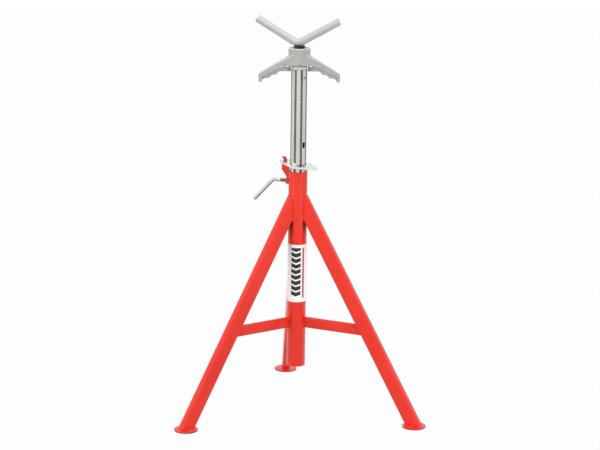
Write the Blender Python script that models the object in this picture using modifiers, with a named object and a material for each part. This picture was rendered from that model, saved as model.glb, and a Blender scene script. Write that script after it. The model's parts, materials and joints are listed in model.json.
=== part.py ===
"""A pipe jack stand: a welded tripod whose column carries a sliding fluted post, a jack screw and a V head.

The stand rests on z = 0, at the post height and with the screw run down as it stands in use.
Metres, +Z up, front towards -Y. The origin is on the floor, in the middle of the stand's bounding box.
"""

import math

import bmesh
import bpy
from mathutils import Matrix, Vector

# Clearances
GAP = 0.0003
MERGE = 0.000005
OVERRUN = 0.010

# Tripod
FOOT_CIRCLE_RADIUS = 0.337
FOOT_DIAMETER = 0.061
FOOT_THICKNESS = 0.004
FOOT_CHAMFER = 0.0006
COLUMN_DIAMETER = 0.0483
COLUMN_WALL = 0.0026
COLUMN_BOTTOM = 0.1196
COLUMN_LENGTH = 0.5169
COLUMN_CHAMFER = 0.0004
LEG_DEPTH = 0.0361
LEG_WIDTH = 0.020
LEG_CORNER = 0.004
LEG_WALL = 0.002
LEG_SLOPE = math.radians(59.75)
LEG_TOP_DROP = 0.0635
LEG_AZIMUTHS = {"left": math.radians(210), "right": math.radians(330), "rear": math.radians(90)}
BRACE_HEIGHT = 0.0280
BRACE_THICKNESS = 0.006
BRACE_DROP = 0.3849
LABEL_DROP = 0.1899
LABEL_HEIGHT = 0.1524
LABEL_THICKNESS = 0.0002
LABEL_CLEARANCE = 0.0001

# Sliding post
POST_DIAMETER = 0.0411
POST_WALL = 0.0021
POST_LENGTH = 0.607
POST_RISE = 0.2642
FLUTES = 8
FLUTE_DEPTH = 0.0022
FLUTE_WIDTH = 0.0052
FLUTE_AZIMUTH = math.radians(-75.5)
CAP_HEIGHT = 0.008
CAP_SPIGOT_LENGTH = 0.030
CAP_SPIGOT_CLEARANCE = 0.0004
SLOT_DROP = 0.1939
SLOT_LENGTH = 0.0155
SLOT_WIDTH = 0.0078

# Jack screw and the parts that turn on it
SCREW_DIAMETER = 0.0286
SCREW_CLEARANCE = 0.0004
SCREW_TRAVEL = 0.100
KEYWAY_WIDTH = 0.0062
KEYWAY_DEPTH = 0.0032
KEY_DIAMETER = 0.005
KEY_DROP = 0.020
KEY_CLEARANCE = 0.0005
STOP_DIAMETER = 0.0308
STOP_THICKNESS = 0.004
STOP_BOLT_DIAMETER = 0.008
STOP_BOLT_LENGTH = 0.020
STOP_BOLT_HEAD_ACROSS = 0.013
STOP_BOLT_HEAD_HEIGHT = 0.0053
WASHER_THICKNESS = 0.0015

# Handle nut, a casting with two drooping wings
HUB_DIAMETER = 0.0558
HUB_HEIGHT = 0.0442
HUB_FOOT_DIAMETER = 0.0455
HUB_TAPER_HEIGHT = 0.008
HUB_RIM_CHAMFER = 0.0016
HUB_MOUTH_DEPTH = 0.0028
WING_SPAN = 0.2065
WING_HEIGHT = 0.0690
WING_TIP_DROP = 0.0460
WING_POST_CLEARANCE = 0.0009
WING_WIDTH = 0.019
WING_GRIP_WIDTH = 0.008
WING_SHOULDER_RADIUS = 0.008
WING_YAW = math.radians(-3.5)
# Outlines as (share of the half span, share of the wing's height), from the hub round by the tip and back
WING_ARM_SHARES = [(0.19, 1.08), (1.0, 0.341), (1.0, 0.065), (0.967, 0.0), (0.94, 0.06)]
WING_ARM_UNDER_SHARES = [(0.935, 0.225), (0.881, 0.274), (0.30, 0.664), (0.19, 0.72)]
WING_GRIP_ROOT_SHARES = [
    (0.93, 0.32),
    (0.33, 0.74),
    (0.312, 0.59),
]
WING_HEEL_SHARES = [0.50, 0.436]
WING_GRIP_FINGER_SHARES = [
    (0.489, 0.436),
    (0.540, 0.365),
    (0.575, 0.305),
    (0.625, 0.300),
    (0.655, 0.312),
    (0.700, 0.250),
    (0.740, 0.178),
    (0.790, 0.172),
    (0.851, 0.178),
    (0.895, 0.130),
    (0.957, 0.020),
]

# V head
BAR_DIAMETER = 0.01905
HEAD_ARM_LENGTH = 0.122
HEAD_ARM_SLOPE = math.radians(30)
HEAD_BEND_RADIUS = 0.036
HEAD_SEAT_HEIGHT = 0.0688
HEAD_OFFSET = 0.0045
HEAD_YAW = math.radians(-16.2)

# Lock plate, its hook bracket and the clamp screw, on the side away from the lever
LOCK_AZIMUTH = math.radians(155)
BRACKET_THICKNESS = 0.007
BRACKET_REACH = 0.0437
BRACKET_TOE_DROP = 0.0183
BRACKET_TOE_WIDTH = 0.0048
BRACKET_HEEL_RISE = 0.0015
HOOK_RISE = 0.0348
HOOK_NECK_RADIUS = 0.0317
HOOK_NECK_WIDTH = 0.0055
HOOK_CROWN_RADIUS = 0.0062
HOOK_THROAT_RADIUS = 0.0066
PLATE_THICKNESS = 0.0035
PLATE_RISE = 0.0170
PLATE_RING_RADIUS = 0.030
PLATE_HOLE_CLEARANCE = 0.0017
PLATE_TOOTH_WIDTH = 0.0022
PLATE_TOOTH_FLARE = 0.0014
PLATE_TOOTH_REACH = 0.0005
PLATE_LOBE_RADIUS = 0.0155
PLATE_LOBE_DISTANCE = 0.0335
PLATE_LOBE_SPREAD = math.radians(58)
PLATE_SLOT_CLEARANCE = 0.0013
PLATE_TAB_LENGTH = 0.0535
PLATE_TAB_TIP_WIDTH = 0.014
PLATE_TAB_CORNER = 0.004
PLATE_TAB_AZIMUTH = math.radians(-7)
PLATE_TAB_SPREAD = math.radians(62)
PLATE_TILT = math.radians(6.1)
PLATE_ROLL = math.radians(7.9)
CLAMP_DROP = 0.0275
CLAMP_NUT_ACROSS = 0.016
CLAMP_NUT_HEIGHT = 0.0070
CLAMP_ROD_DIAMETER = 0.0093
CLAMP_ARM_REACH = 0.0674
CLAMP_LEVER_LENGTH = 0.0765
CLAMP_LEVER_SLOPE = math.radians(47.5)
CLAMP_BEND_RADIUS = 0.010
CLAMP_PAD_THICKNESS = 0.0017
GUIDE_RISE = 0.0099
GUIDE_HEAD_DIAMETER = 0.010
GUIDE_HEAD_HEIGHT = 0.0018
GUIDE_CROWN_SHARE = 0.5
GUIDE_RIM_SHARE = 0.35
GUIDE_SHANK_DIAMETER = 0.0042
GUIDE_REACH = 0.0010

# Steps round a full turn
ROUND_STEPS = 48
SMALL_STEPS = 24
HEAD_SIDES = 24
BEND_STEPS = 8
CORNER_STEPS = 4
LOBE_STEPS = 4
GROOVE_STEPS = 6
SHARP_ANGLE = math.radians(35)

# Places that follow from the sizes above
AXIS_Y = -FOOT_CIRCLE_RADIUS / 4
COLUMN_RADIUS = COLUMN_DIAMETER / 2
COLUMN_BORE = COLUMN_RADIUS - COLUMN_WALL
COLUMN_TOP = COLUMN_BOTTOM + COLUMN_LENGTH
POST_RADIUS = POST_DIAMETER / 2
POST_TOP = COLUMN_TOP + POST_RISE
POST_BORE = POST_RADIUS - FLUTE_DEPTH - POST_WALL
CAP_TOP = POST_TOP + CAP_HEIGHT
WASHER_BOTTOM = CAP_TOP + GAP
HUB_BOTTOM = WASHER_BOTTOM + WASHER_THICKNESS + GAP
HUB_TOP = HUB_BOTTOM + HUB_HEIGHT
SCREW_RADIUS = SCREW_DIAMETER / 2
SCREW_BORE = SCREW_RADIUS + SCREW_CLEARANCE
SPIGOT_BOTTOM = POST_TOP - CAP_SPIGOT_LENGTH
SCREW_BOTTOM = SPIGOT_BOTTOM - SCREW_TRAVEL
BAR_RADIUS = BAR_DIAMETER / 2
HEAD_LINE_BOTTOM = HUB_BOTTOM + HEAD_SEAT_HEIGHT - BAR_RADIUS
SCREW_TOP = HEAD_LINE_BOTTOM - BAR_RADIUS - GAP
KEY_AZIMUTH = FLUTE_AZIMUTH + math.pi / FLUTES
KEY_HEIGHT = POST_TOP - KEY_DROP
CLAMP_HEIGHT = COLUMN_TOP - CLAMP_DROP
GUIDE_HEIGHT = COLUMN_BOTTOM + GUIDE_RISE
GUIDE_AZIMUTH = FLUTE_AZIMUTH - math.tau / FLUTES


def clear_scene():
    for obj in list(bpy.data.objects):
        bpy.data.objects.remove(obj, do_unlink=True)


def new_collection(name):
    collection = bpy.data.collections.new(name)
    bpy.context.scene.collection.children.link(collection)
    return collection


def material(name, colour, roughness, metallic):
    made = bpy.data.materials.new(name)
    made.use_nodes = True
    shader = made.node_tree.nodes["Principled BSDF"]
    shader.inputs["Base Color"].default_value = (*colour, 1)
    shader.inputs["Roughness"].default_value = roughness
    shader.inputs["Metallic"].default_value = metallic
    return made


clear_scene()
parts = new_collection("pipe_jack_stand")
cutters = new_collection("cutters")
stand_frame = bpy.data.objects.new("stand_frame", None)
stand_frame.location = (0, AXIS_Y, 0)
parts.objects.link(stand_frame)

RED_ENAMEL = material("red_enamel", (0.80, 0.045, 0.030), 0.32, 0.0)
POST_ZINC = material("post_zinc", (0.56, 0.56, 0.51), 0.38, 1.0)
BRIGHT_ZINC = material("bright_zinc", (0.80, 0.81, 0.82), 0.25, 1.0)
CAST_GREY = material("cast_grey", (0.43, 0.46, 0.42), 0.62, 0.55)
HEAD_STEEL = material("head_steel", (0.66, 0.66, 0.64), 0.42, 0.85)
SCREW_STEEL = material("screw_steel", (0.05, 0.05, 0.05), 0.45, 0.9)
PAD_BRASS = material("pad_brass", (0.60, 0.42, 0.18), 0.40, 1.0)
LABEL_WHITE = material("label_white", (0.88, 0.88, 0.87), 0.45, 0.0)


def add_object(name, mesh, collection=parts):
    """An object for the mesh, standing on the stand's own frame."""
    obj = bpy.data.objects.new(name, mesh)
    collection.objects.link(obj)
    obj.parent = stand_frame
    return obj


def finish(obj, coat):
    """Gives a piece its material and smooth shading between its sharp edges."""
    mesh = obj.data
    mesh.materials.clear()
    mesh.materials.append(coat)
    mesh.shade_smooth()
    mesh.set_sharp_from_angle(angle=SHARP_ANGLE)
    return obj


def as_cutter(obj):
    for holder in obj.users_collection:
        holder.objects.unlink(obj)
    cutters.objects.link(obj)
    obj.hide_render = True
    obj.display_type = "WIRE"
    return obj


def combine(obj, other, operation="DIFFERENCE"):
    """Cuts, joins or trims the piece with another solid, which becomes a cutter."""
    modifier = obj.modifiers.new(other.name, "BOOLEAN")
    modifier.operation = operation
    modifier.solver = "EXACT"
    modifier.object = as_cutter(other)
    return obj


def mesh_of(obj):
    """The mesh of the object with its modifiers applied, in the object's own axes."""
    bpy.context.view_layer.update()
    graph = bpy.context.evaluated_depsgraph_get()
    return bpy.data.meshes.new_from_object(obj.evaluated_get(graph))


def placed(obj, location=(0, 0, 0), rotation=(0, 0, 0)):
    obj.location = location
    obj.rotation_euler = rotation
    return obj


def around(radius, azimuth, height):
    """The point at a radius from the column's axis."""
    return Vector((radius * math.cos(azimuth), radius * math.sin(azimuth), height))


def turned(name, profile, steps=ROUND_STEPS, closed=True):
    """A turned piece. The profile of (radius, height) runs down the outside, then up the bore if closed."""
    mesh = bpy.data.meshes.new(name)
    ends = list(range(len(profile)))
    edges = list(zip(ends, ends[1:] + ends[:1])) if closed else list(zip(ends, ends[1:]))
    mesh.from_pydata([(radius, 0, height) for radius, height in profile], edges, [])
    obj = add_object(name, mesh)
    spin = obj.modifiers.new("Spin", "SCREW")
    spin.steps = steps
    spin.render_steps = steps
    spin.use_merge_vertices = True
    spin.merge_threshold = MERGE
    return obj


def ring(name, outer, inner, bottom, top, steps=ROUND_STEPS, chamfer=0.0):
    """A tube or washer between two heights, with its outer edges broken."""
    upper = [(outer - chamfer, top), (outer, top - chamfer)] if chamfer else [(outer, top)]
    lower = [(outer, bottom + chamfer), (outer - chamfer, bottom)] if chamfer else [(outer, bottom)]
    return turned(name, [(inner, top), *upper, *lower, (inner, bottom)], steps)


def rod(name, radius, length, steps=SMALL_STEPS):
    """A solid cylinder standing on its own origin."""
    profile = [(0, length), (radius, length), (radius, 0), (0, 0)]
    return turned(name, profile, steps, closed=False)


def prism(name, outlines, thickness):
    """A flat piece: closed outlines in its XY plane, the later ones holes, half its thickness each way."""
    curve = bpy.data.curves.new(name, "CURVE")
    curve.dimensions = "2D"
    curve.fill_mode = "BOTH"
    curve.extrude = thickness / 2
    for outline in outlines:
        spline = curve.splines.new("POLY")
        spline.points.add(len(outline) - 1)
        for point, (x, y) in zip(spline.points, outline):
            point.co = (x, y, 0, 1)
        spline.use_cyclic_u = True
    return curve_solid(name, curve)


def bent_bar(name, points, radius, sides):
    """A round bar along a line of points, with flat ends."""
    curve = bpy.data.curves.new(name, "CURVE")
    curve.dimensions = "3D"
    curve.bevel_depth = radius
    curve.bevel_resolution = sides // 2 - 2
    curve.use_fill_caps = True
    spline = curve.splines.new("POLY")
    spline.points.add(len(points) - 1)
    for point, place in zip(spline.points, points):
        point.co = (*place, 1)
    return curve_solid(name, curve)


def curve_solid(name, curve):
    """The curve made a mesh, with its caps welded on."""
    guide = bpy.data.objects.new(name + "_guide", curve)
    parts.objects.link(guide)
    mesh = mesh_of(guide)
    bpy.data.objects.remove(guide, do_unlink=True)
    shape = bmesh.new()
    shape.from_mesh(mesh)
    bmesh.ops.remove_doubles(shape, verts=shape.verts, dist=MERGE)
    bmesh.ops.recalc_face_normals(shape, faces=shape.faces)
    shape.to_mesh(mesh)
    shape.free()
    return add_object(name, mesh)


def block(name, low, high):
    """A box between two corners, with its origin at the stand's frame."""
    mesh = bpy.data.meshes.new(name)
    shape = bmesh.new()
    size = Vector(high) - Vector(low)
    middle = (Vector(high) + Vector(low)) / 2
    bmesh.ops.create_cube(shape, size=1, matrix=Matrix.Translation(middle) @ Matrix.Diagonal((*size, 1)))
    shape.to_mesh(mesh)
    shape.free()
    return add_object(name, mesh)


def arc(centre, radius, start, end, steps):
    """Points on an arc, both ends included."""
    angles = [start + (end - start) * step / steps for step in range(steps + 1)]
    return [(centre[0] + radius * math.cos(a), centre[1] + radius * math.sin(a)) for a in angles]


def rounded_rectangle(width, height, radius):
    quarter = math.pi / 2
    places = [(1, 1), (-1, 1), (-1, -1), (1, -1)]
    points = []
    for turn, (x, y) in enumerate(places):
        centre = (x * (width / 2 - radius), y * (height / 2 - radius))
        points += arc(centre, radius, turn * quarter, (turn + 1) * quarter, CORNER_STEPS)
    return points


def rounded_corners(points, radius):
    """A closed outline with each corner that is given a radius rounded off."""
    outline = []
    for index, (place, size) in enumerate(zip(points, radius)):
        before = Vector(points[index - 1])
        here = Vector(place)
        after = Vector(points[(index + 1) % len(points)])
        if size == 0:
            outline.append(tuple(here))
            continue
        back = (before - here).normalized()
        ahead = (after - here).normalized()
        half = back.angle(ahead) / 2
        inset = size / math.tan(half)
        centre = here + (back + ahead).normalized() * size / math.sin(half)
        first = here + back * inset - centre
        last = here + ahead * inset - centre
        start = math.atan2(first.y, first.x)
        swing = math.atan2(last.y, last.x) - start
        swing = (swing + math.pi) % math.tau - math.pi
        outline += arc(centre, size, start, start + swing, CORNER_STEPS)
    return outline


def fluted(depth_in):
    """The post's section, moved inwards by a depth: round lobes with a narrow groove between each pair."""
    half_groove = FLUTE_WIDTH / 2 / POST_RADIUS
    half_lobe = math.pi / FLUTES - half_groove
    points = []
    for flute in range(FLUTES):
        middle = FLUTE_AZIMUTH + flute * math.tau / FLUTES
        for step in range(GROOVE_STEPS + 1):
            share = 2 * step / GROOVE_STEPS - 1
            radius = POST_RADIUS - depth_in - FLUTE_DEPTH * (1 - share**4)
            angle = middle + share * half_groove
            points.append((radius * math.cos(angle), radius * math.sin(angle)))
        for step in range(1, LOBE_STEPS):
            angle = middle + half_groove + 2 * half_lobe * step / LOBE_STEPS
            radius = POST_RADIUS - depth_in
            points.append((radius * math.cos(angle), radius * math.sin(angle)))
    return points


def leg_line(height):
    """The radius of the leg's centre line at a height."""
    return FOOT_CIRCLE_RADIUS - (height - FOOT_THICKNESS) / math.tan(LEG_SLOPE)


def make_feet():
    radius = FOOT_DIAMETER / 2
    for side, azimuth in LEG_AZIMUTHS.items():
        profile = [
            (0, FOOT_THICKNESS),
            (radius - FOOT_CHAMFER, FOOT_THICKNESS),
            (radius, FOOT_THICKNESS - FOOT_CHAMFER),
            (radius, FOOT_CHAMFER),
            (radius - FOOT_CHAMFER, 0),
            (0, 0),
        ]
        foot = turned("foot_" + side, profile, closed=False)
        finish(placed(foot, around(FOOT_CIRCLE_RADIUS, azimuth, 0)), RED_ENAMEL)


def make_legs():
    """One rectangular tube, coped to the column and cut level at both ends, and set at each azimuth."""
    top = COLUMN_TOP - LEG_TOP_DROP
    foot_face = FOOT_THICKNESS + GAP
    rise = COLUMN_TOP - foot_face
    length = 2 * OVERRUN + rise / math.sin(LEG_SLOPE)
    inner_corner = LEG_CORNER - LEG_WALL
    tube = prism(
        "leg_tube",
        [
            rounded_rectangle(LEG_DEPTH, LEG_WIDTH, LEG_CORNER),
            rounded_rectangle(LEG_DEPTH - 2 * LEG_WALL, LEG_WIDTH - 2 * LEG_WALL, inner_corner),
        ],
        length,
    )
    middle = foot_face + rise / 2
    placed(tube, (leg_line(middle), 0, middle), (0, LEG_SLOPE - math.pi / 2, 0))
    side = LEG_WIDTH
    far = FOOT_CIRCLE_RADIUS + LEG_DEPTH
    combine(tube, block("leg_floor_cut", (0, -side, -LEG_DEPTH), (far, side, foot_face)))
    combine(tube, block("leg_top_cut", (-far, -side, top), (far, side, COLUMN_TOP + LEG_DEPTH)))
    combine(tube, block("leg_inside_cut", (-far, -side, 0), (0, side, COLUMN_TOP)))
    combine(tube, turned_cope("leg_cope"))
    shape = mesh_of(tube)
    shape.transform(Matrix.LocRotScale(tube.location, tube.rotation_euler, None))
    bpy.data.objects.remove(tube, do_unlink=True)
    for name, azimuth in LEG_AZIMUTHS.items():
        leg = add_object("leg_" + name, shape.copy())
        finish(placed(leg, rotation=(0, 0, azimuth)), RED_ENAMEL)


def turned_cope(name):
    """The column's own outside with a gap, longer than the column at both ends."""
    profile = [
        (0, COLUMN_TOP + OVERRUN),
        (COLUMN_RADIUS + GAP, COLUMN_TOP + OVERRUN),
        (COLUMN_RADIUS + GAP, COLUMN_BOTTOM - OVERRUN),
        (0, COLUMN_BOTTOM - OVERRUN),
    ]
    return turned(name, profile, closed=False)


def make_braces():
    """A level flat bar from the column to each leg's inner face, its outer end cut to the leg's slope."""
    top = COLUMN_TOP - BRACE_DROP
    bottom = top - BRACE_HEIGHT
    inner_face = LEG_DEPTH / 2 / math.sin(LEG_SLOPE) + GAP / math.sin(LEG_SLOPE)
    start = COLUMN_RADIUS + GAP
    outline = [
        (start, bottom),
        (leg_line(bottom) - inner_face, bottom),
        (leg_line(top) - inner_face, top),
        (start, top),
    ]
    for name, azimuth in LEG_AZIMUTHS.items():
        brace = prism("brace_" + name, [outline], BRACE_THICKNESS)
        finish(placed(brace, rotation=(math.pi / 2, 0, azimuth)), RED_ENAMEL)


def make_column():
    column = ring(
        "column_tube", COLUMN_RADIUS, COLUMN_BORE, COLUMN_BOTTOM, COLUMN_TOP, chamfer=COLUMN_CHAMFER
    )
    across = COLUMN_DIAMETER
    clamp_hole = rod("clamp_hole", CLAMP_ROD_DIAMETER / 2 + GAP, across)
    placed(clamp_hole, (0, 0, CLAMP_HEIGHT), (0, math.pi / 2, LOCK_AZIMUTH))
    guide_hole = rod("guide_hole", GUIDE_SHANK_DIAMETER / 2 + GAP, across)
    placed(guide_hole, (0, 0, GUIDE_HEIGHT), (0, math.pi / 2, GUIDE_AZIMUTH))
    combine(column, clamp_hole)
    combine(column, guide_hole)
    finish(column, RED_ENAMEL)

    inner = COLUMN_RADIUS + LABEL_CLEARANCE
    bottom = COLUMN_TOP - LABEL_DROP - LABEL_HEIGHT
    label = ring("label_wrap", inner + LABEL_THICKNESS, inner, bottom, bottom + LABEL_HEIGHT)
    finish(label, LABEL_WHITE)


def make_guide_rivet():
    """A rivet through the column's wall near its foot; its tip runs in one of the post's flutes."""
    tip = POST_RADIUS - GUIDE_REACH
    head_start = COLUMN_RADIUS + GAP
    head = GUIDE_HEAD_DIAMETER / 2
    shank = GUIDE_SHANK_DIAMETER / 2
    profile = [
        (0, head_start + GUIDE_HEAD_HEIGHT),
        (head * GUIDE_CROWN_SHARE, head_start + GUIDE_HEAD_HEIGHT),
        (head, head_start + GUIDE_HEAD_HEIGHT * GUIDE_RIM_SHARE),
        (head, head_start),
        (shank, head_start),
        (shank, tip),
        (0, tip),
    ]
    rivet = turned("guide_rivet", profile, SMALL_STEPS, closed=False)
    placed(rivet, (0, 0, GUIDE_HEIGHT), (0, math.pi / 2, GUIDE_AZIMUTH))
    finish(rivet, RED_ENAMEL)


def make_post():
    """The fluted tube, with the slot in one lobe and the hole for the key above it."""
    post = prism("inner_post", [fluted(0), fluted(POST_WALL)], POST_LENGTH)
    placed(post, (0, 0, POST_TOP - POST_LENGTH / 2))
    slot_shape = rounded_rectangle(SLOT_LENGTH, SLOT_WIDTH, SLOT_WIDTH / 2 - GAP)
    slot = prism("post_slot", [slot_shape], POST_RADIUS)
    slot_place = around(POST_RADIUS, KEY_AZIMUTH, POST_TOP - SLOT_DROP)
    combine(post, placed(slot, slot_place, (0, math.pi / 2, KEY_AZIMUTH)))
    key_hole = rod("post_key_hole", KEY_DIAMETER / 2 + GAP, POST_DIAMETER)
    combine(post, placed(key_hole, (0, 0, KEY_HEIGHT), (0, math.pi / 2, KEY_AZIMUTH)))
    finish(post, POST_ZINC)

    spigot = POST_BORE - CAP_SPIGOT_CLEARANCE
    seat = POST_TOP + GAP
    profile = [
        (SCREW_BORE, CAP_TOP),
        (POST_RADIUS, CAP_TOP),
        (POST_RADIUS, seat),
        (spigot, seat),
        (spigot, SPIGOT_BOTTOM),
        (SCREW_BORE, SPIGOT_BOTTOM),
    ]
    cap = turned("post_cap", profile)
    key_hole = rod("cap_key_hole", KEY_DIAMETER / 2 + GAP, POST_DIAMETER)
    combine(cap, placed(key_hole, (0, 0, KEY_HEIGHT), (0, math.pi / 2, KEY_AZIMUTH)))
    finish(cap, POST_ZINC)

    key_tip = SCREW_RADIUS - KEYWAY_DEPTH + KEY_CLEARANCE
    key = rod("key_pin", KEY_DIAMETER / 2, POST_RADIUS - key_tip)
    placed(key, around(key_tip, KEY_AZIMUTH, KEY_HEIGHT), (0, math.pi / 2, KEY_AZIMUTH))
    finish(key, PAD_BRASS)

    washer_top = WASHER_BOTTOM + WASHER_THICKNESS
    washer = ring("thrust_washer", POST_RADIUS, SCREW_BORE, WASHER_BOTTOM, washer_top)
    finish(washer, BRIGHT_ZINC)


def make_screw():
    """The jack screw with its keyway, and the washer that a bolt holds on its foot as the upper stop."""
    screw = rod("jack_screw", SCREW_RADIUS, SCREW_TOP - SCREW_BOTTOM, ROUND_STEPS)
    placed(screw, (0, 0, SCREW_BOTTOM))
    keyway_top = HUB_BOTTOM - SCREW_BOTTOM
    keyway = block(
        "screw_keyway",
        (SCREW_RADIUS - KEYWAY_DEPTH, -KEYWAY_WIDTH / 2, -OVERRUN),
        (SCREW_DIAMETER, KEYWAY_WIDTH / 2, keyway_top),
    )
    combine(screw, placed(keyway, (0, 0, SCREW_BOTTOM), (0, 0, KEY_AZIMUTH)))
    bolt_radius = STOP_BOLT_DIAMETER / 2
    tapping = rod("screw_tapping", bolt_radius + GAP, STOP_BOLT_LENGTH + OVERRUN)
    combine(screw, placed(tapping, (0, 0, SCREW_BOTTOM - OVERRUN)))
    finish(screw, SCREW_STEEL)

    stop_top = SCREW_BOTTOM - GAP
    stop_bottom = stop_top - STOP_THICKNESS
    stop = ring("stop_washer", STOP_DIAMETER / 2, bolt_radius + GAP, stop_bottom, stop_top)
    finish(stop, BRIGHT_ZINC)

    head_top = stop_bottom - GAP
    bolt = prism("stop_bolt", [hexagon(STOP_BOLT_HEAD_ACROSS)], STOP_BOLT_HEAD_HEIGHT)
    placed(bolt, (0, 0, head_top - STOP_BOLT_HEAD_HEIGHT / 2))
    shank_length = STOP_THICKNESS + STOP_BOLT_LENGTH
    shank = rod("stop_bolt_shank", bolt_radius, shank_length + STOP_BOLT_HEAD_HEIGHT / 2)
    combine(bolt, placed(shank, (0, 0, head_top - STOP_BOLT_HEAD_HEIGHT / 2)), "UNION")
    finish(bolt, BRIGHT_ZINC)


def hexagon(across):
    """The corners of a hexagon by its width across flats, with two flats along X."""
    return arc((0, 0), across / math.sqrt(3), 0, math.tau * 5 / 6, 5)


def make_head():
    """A round bar bent to a V, its low point on the screw's top."""
    rise_to_line = HEAD_BEND_RADIUS * (1 / math.cos(HEAD_ARM_SLOPE) - 1)
    corner = HEAD_LINE_BOTTOM - rise_to_line
    bend_centre = (0, HEAD_LINE_BOTTOM + HEAD_BEND_RADIUS)
    down = -math.pi / 2
    bend = arc(bend_centre, HEAD_BEND_RADIUS, down - HEAD_ARM_SLOPE, down + HEAD_ARM_SLOPE, BEND_STEPS)
    out = HEAD_ARM_LENGTH * math.cos(HEAD_ARM_SLOPE)
    up = corner + HEAD_ARM_LENGTH * math.sin(HEAD_ARM_SLOPE)
    line = [(-out, up), *bend, (out, up)]
    head = bent_bar("v_head", [(x - HEAD_OFFSET, 0, z) for x, z in line], BAR_RADIUS, HEAD_SIDES)
    finish(placed(head, rotation=(0, 0, HEAD_YAW)), HEAD_STEEL)


def make_handle_nut():
    """The cast nut: a threaded hub on the washer, and two wings with scalloped finger grips."""
    hub = HUB_DIAMETER / 2
    foot = HUB_FOOT_DIAMETER / 2
    mouth = SCREW_BORE + HUB_MOUTH_DEPTH
    profile = [
        (mouth, HUB_TOP),
        (hub - HUB_RIM_CHAMFER, HUB_TOP),
        (hub, HUB_TOP - HUB_RIM_CHAMFER),
        (hub, HUB_BOTTOM + HUB_TAPER_HEIGHT),
        (foot, HUB_BOTTOM),
        (SCREW_BORE, HUB_BOTTOM),
        (SCREW_BORE, HUB_TOP - HUB_MOUTH_DEPTH),
    ]
    nut = turned("handle_nut", profile)
    placed(nut, rotation=(0, 0, WING_YAW))
    for name, turn in (("right", 0), ("left", math.pi)):
        for piece in wing_pieces(name):
            combine(nut, placed(piece, rotation=(math.pi / 2, 0, WING_YAW + turn)), "UNION")
    finish(nut, CAST_GREY)


def wing_outline(shares):
    """The points of a table of wing shares, as (distance from the axis, height)."""
    return [(along * WING_SPAN / 2, wing_height(up)) for along, up in shares]


def wing_height(share):
    return HUB_BOTTOM - WING_TIP_DROP + share * WING_HEIGHT


def wing_pieces(name):
    """A wing's thick arm and the thinner finger grip under it, each flat in its own XY plane."""
    arm = wing_outline(WING_ARM_SHARES + WING_ARM_UNDER_SHARES)
    corners = [0] * len(arm)
    corners[1] = WING_SHOULDER_RADIUS
    upper = prism("wing_arm_" + name, [rounded_corners(arm, corners)], WING_WIDTH)
    heel = [(POST_RADIUS + WING_POST_CLEARANCE, wing_height(share)) for share in WING_HEEL_SHARES]
    fingers = softened(wing_outline(WING_GRIP_FINGER_SHARES))
    grip = wing_outline(WING_GRIP_ROOT_SHARES) + heel + fingers
    lower = prism("wing_grip_" + name, [grip], WING_GRIP_WIDTH)
    return upper, lower


def softened(line):
    """The open line with its corners cut back, each to the quarter points of its two sides."""
    points = [line[0]]
    for (x0, y0), (x1, y1) in zip(line, line[1:]):
        points.append(((3 * x0 + x1) / 4, (3 * y0 + y1) / 4))
        points.append(((x0 + 3 * x1) / 4, (y0 + 3 * y1) / 4))
    return [*points, line[-1]]


def plate_height(radius):
    """The height of the lock plate's middle on the hook's side, at a distance from the axis."""
    return COLUMN_TOP + PLATE_RISE + radius * math.tan(PLATE_TILT)


def seat_height(radius):
    """The bracket's seat for the plate, just under the plate's low edge."""
    half = PLATE_THICKNESS / 2 / math.cos(PLATE_ROLL) / math.cos(PLATE_TILT)
    lean = BRACKET_THICKNESS / 2 * math.tan(PLATE_ROLL)
    return plate_height(radius) - half - lean - GAP


def make_bracket():
    """A flat plate on the column's side: gusset, seat for the lock plate, and the hook through it."""
    start = COLUMN_RADIUS + GAP
    neck_in = HOOK_NECK_RADIUS
    neck_out = neck_in + HOOK_NECK_WIDTH
    crown = (neck_in + HOOK_CROWN_RADIUS, COLUMN_TOP + HOOK_RISE - HOOK_CROWN_RADIUS)
    overhang = neck_out + HOOK_THROAT_RADIUS - crown[0]
    point_rise = math.sqrt(HOOK_CROWN_RADIUS**2 - overhang**2)
    throat = (neck_out + HOOK_THROAT_RADIUS, crown[1] + point_rise - HOOK_THROAT_RADIUS)
    point_angle = math.atan2(point_rise, overhang)
    outline = [
        (start, COLUMN_TOP - BRACKET_TOE_DROP),
        (start + BRACKET_TOE_WIDTH, COLUMN_TOP - BRACKET_TOE_DROP),
        (BRACKET_REACH, COLUMN_TOP + BRACKET_HEEL_RISE),
        (BRACKET_REACH, seat_height(BRACKET_REACH)),
        (neck_out, seat_height(neck_out)),
        *arc(throat, HOOK_THROAT_RADIUS, math.pi, math.pi / 2, BEND_STEPS)[:-1],
        *arc(crown, HOOK_CROWN_RADIUS, point_angle, math.pi, BEND_STEPS),
        (neck_in, seat_height(neck_in)),
        (start, seat_height(start)),
    ]
    bracket = prism("hook_bracket", [outline], BRACKET_THICKNESS)
    finish(placed(bracket, rotation=(math.pi / 2, 0, LOCK_AZIMUTH)), RED_ENAMEL)


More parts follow.
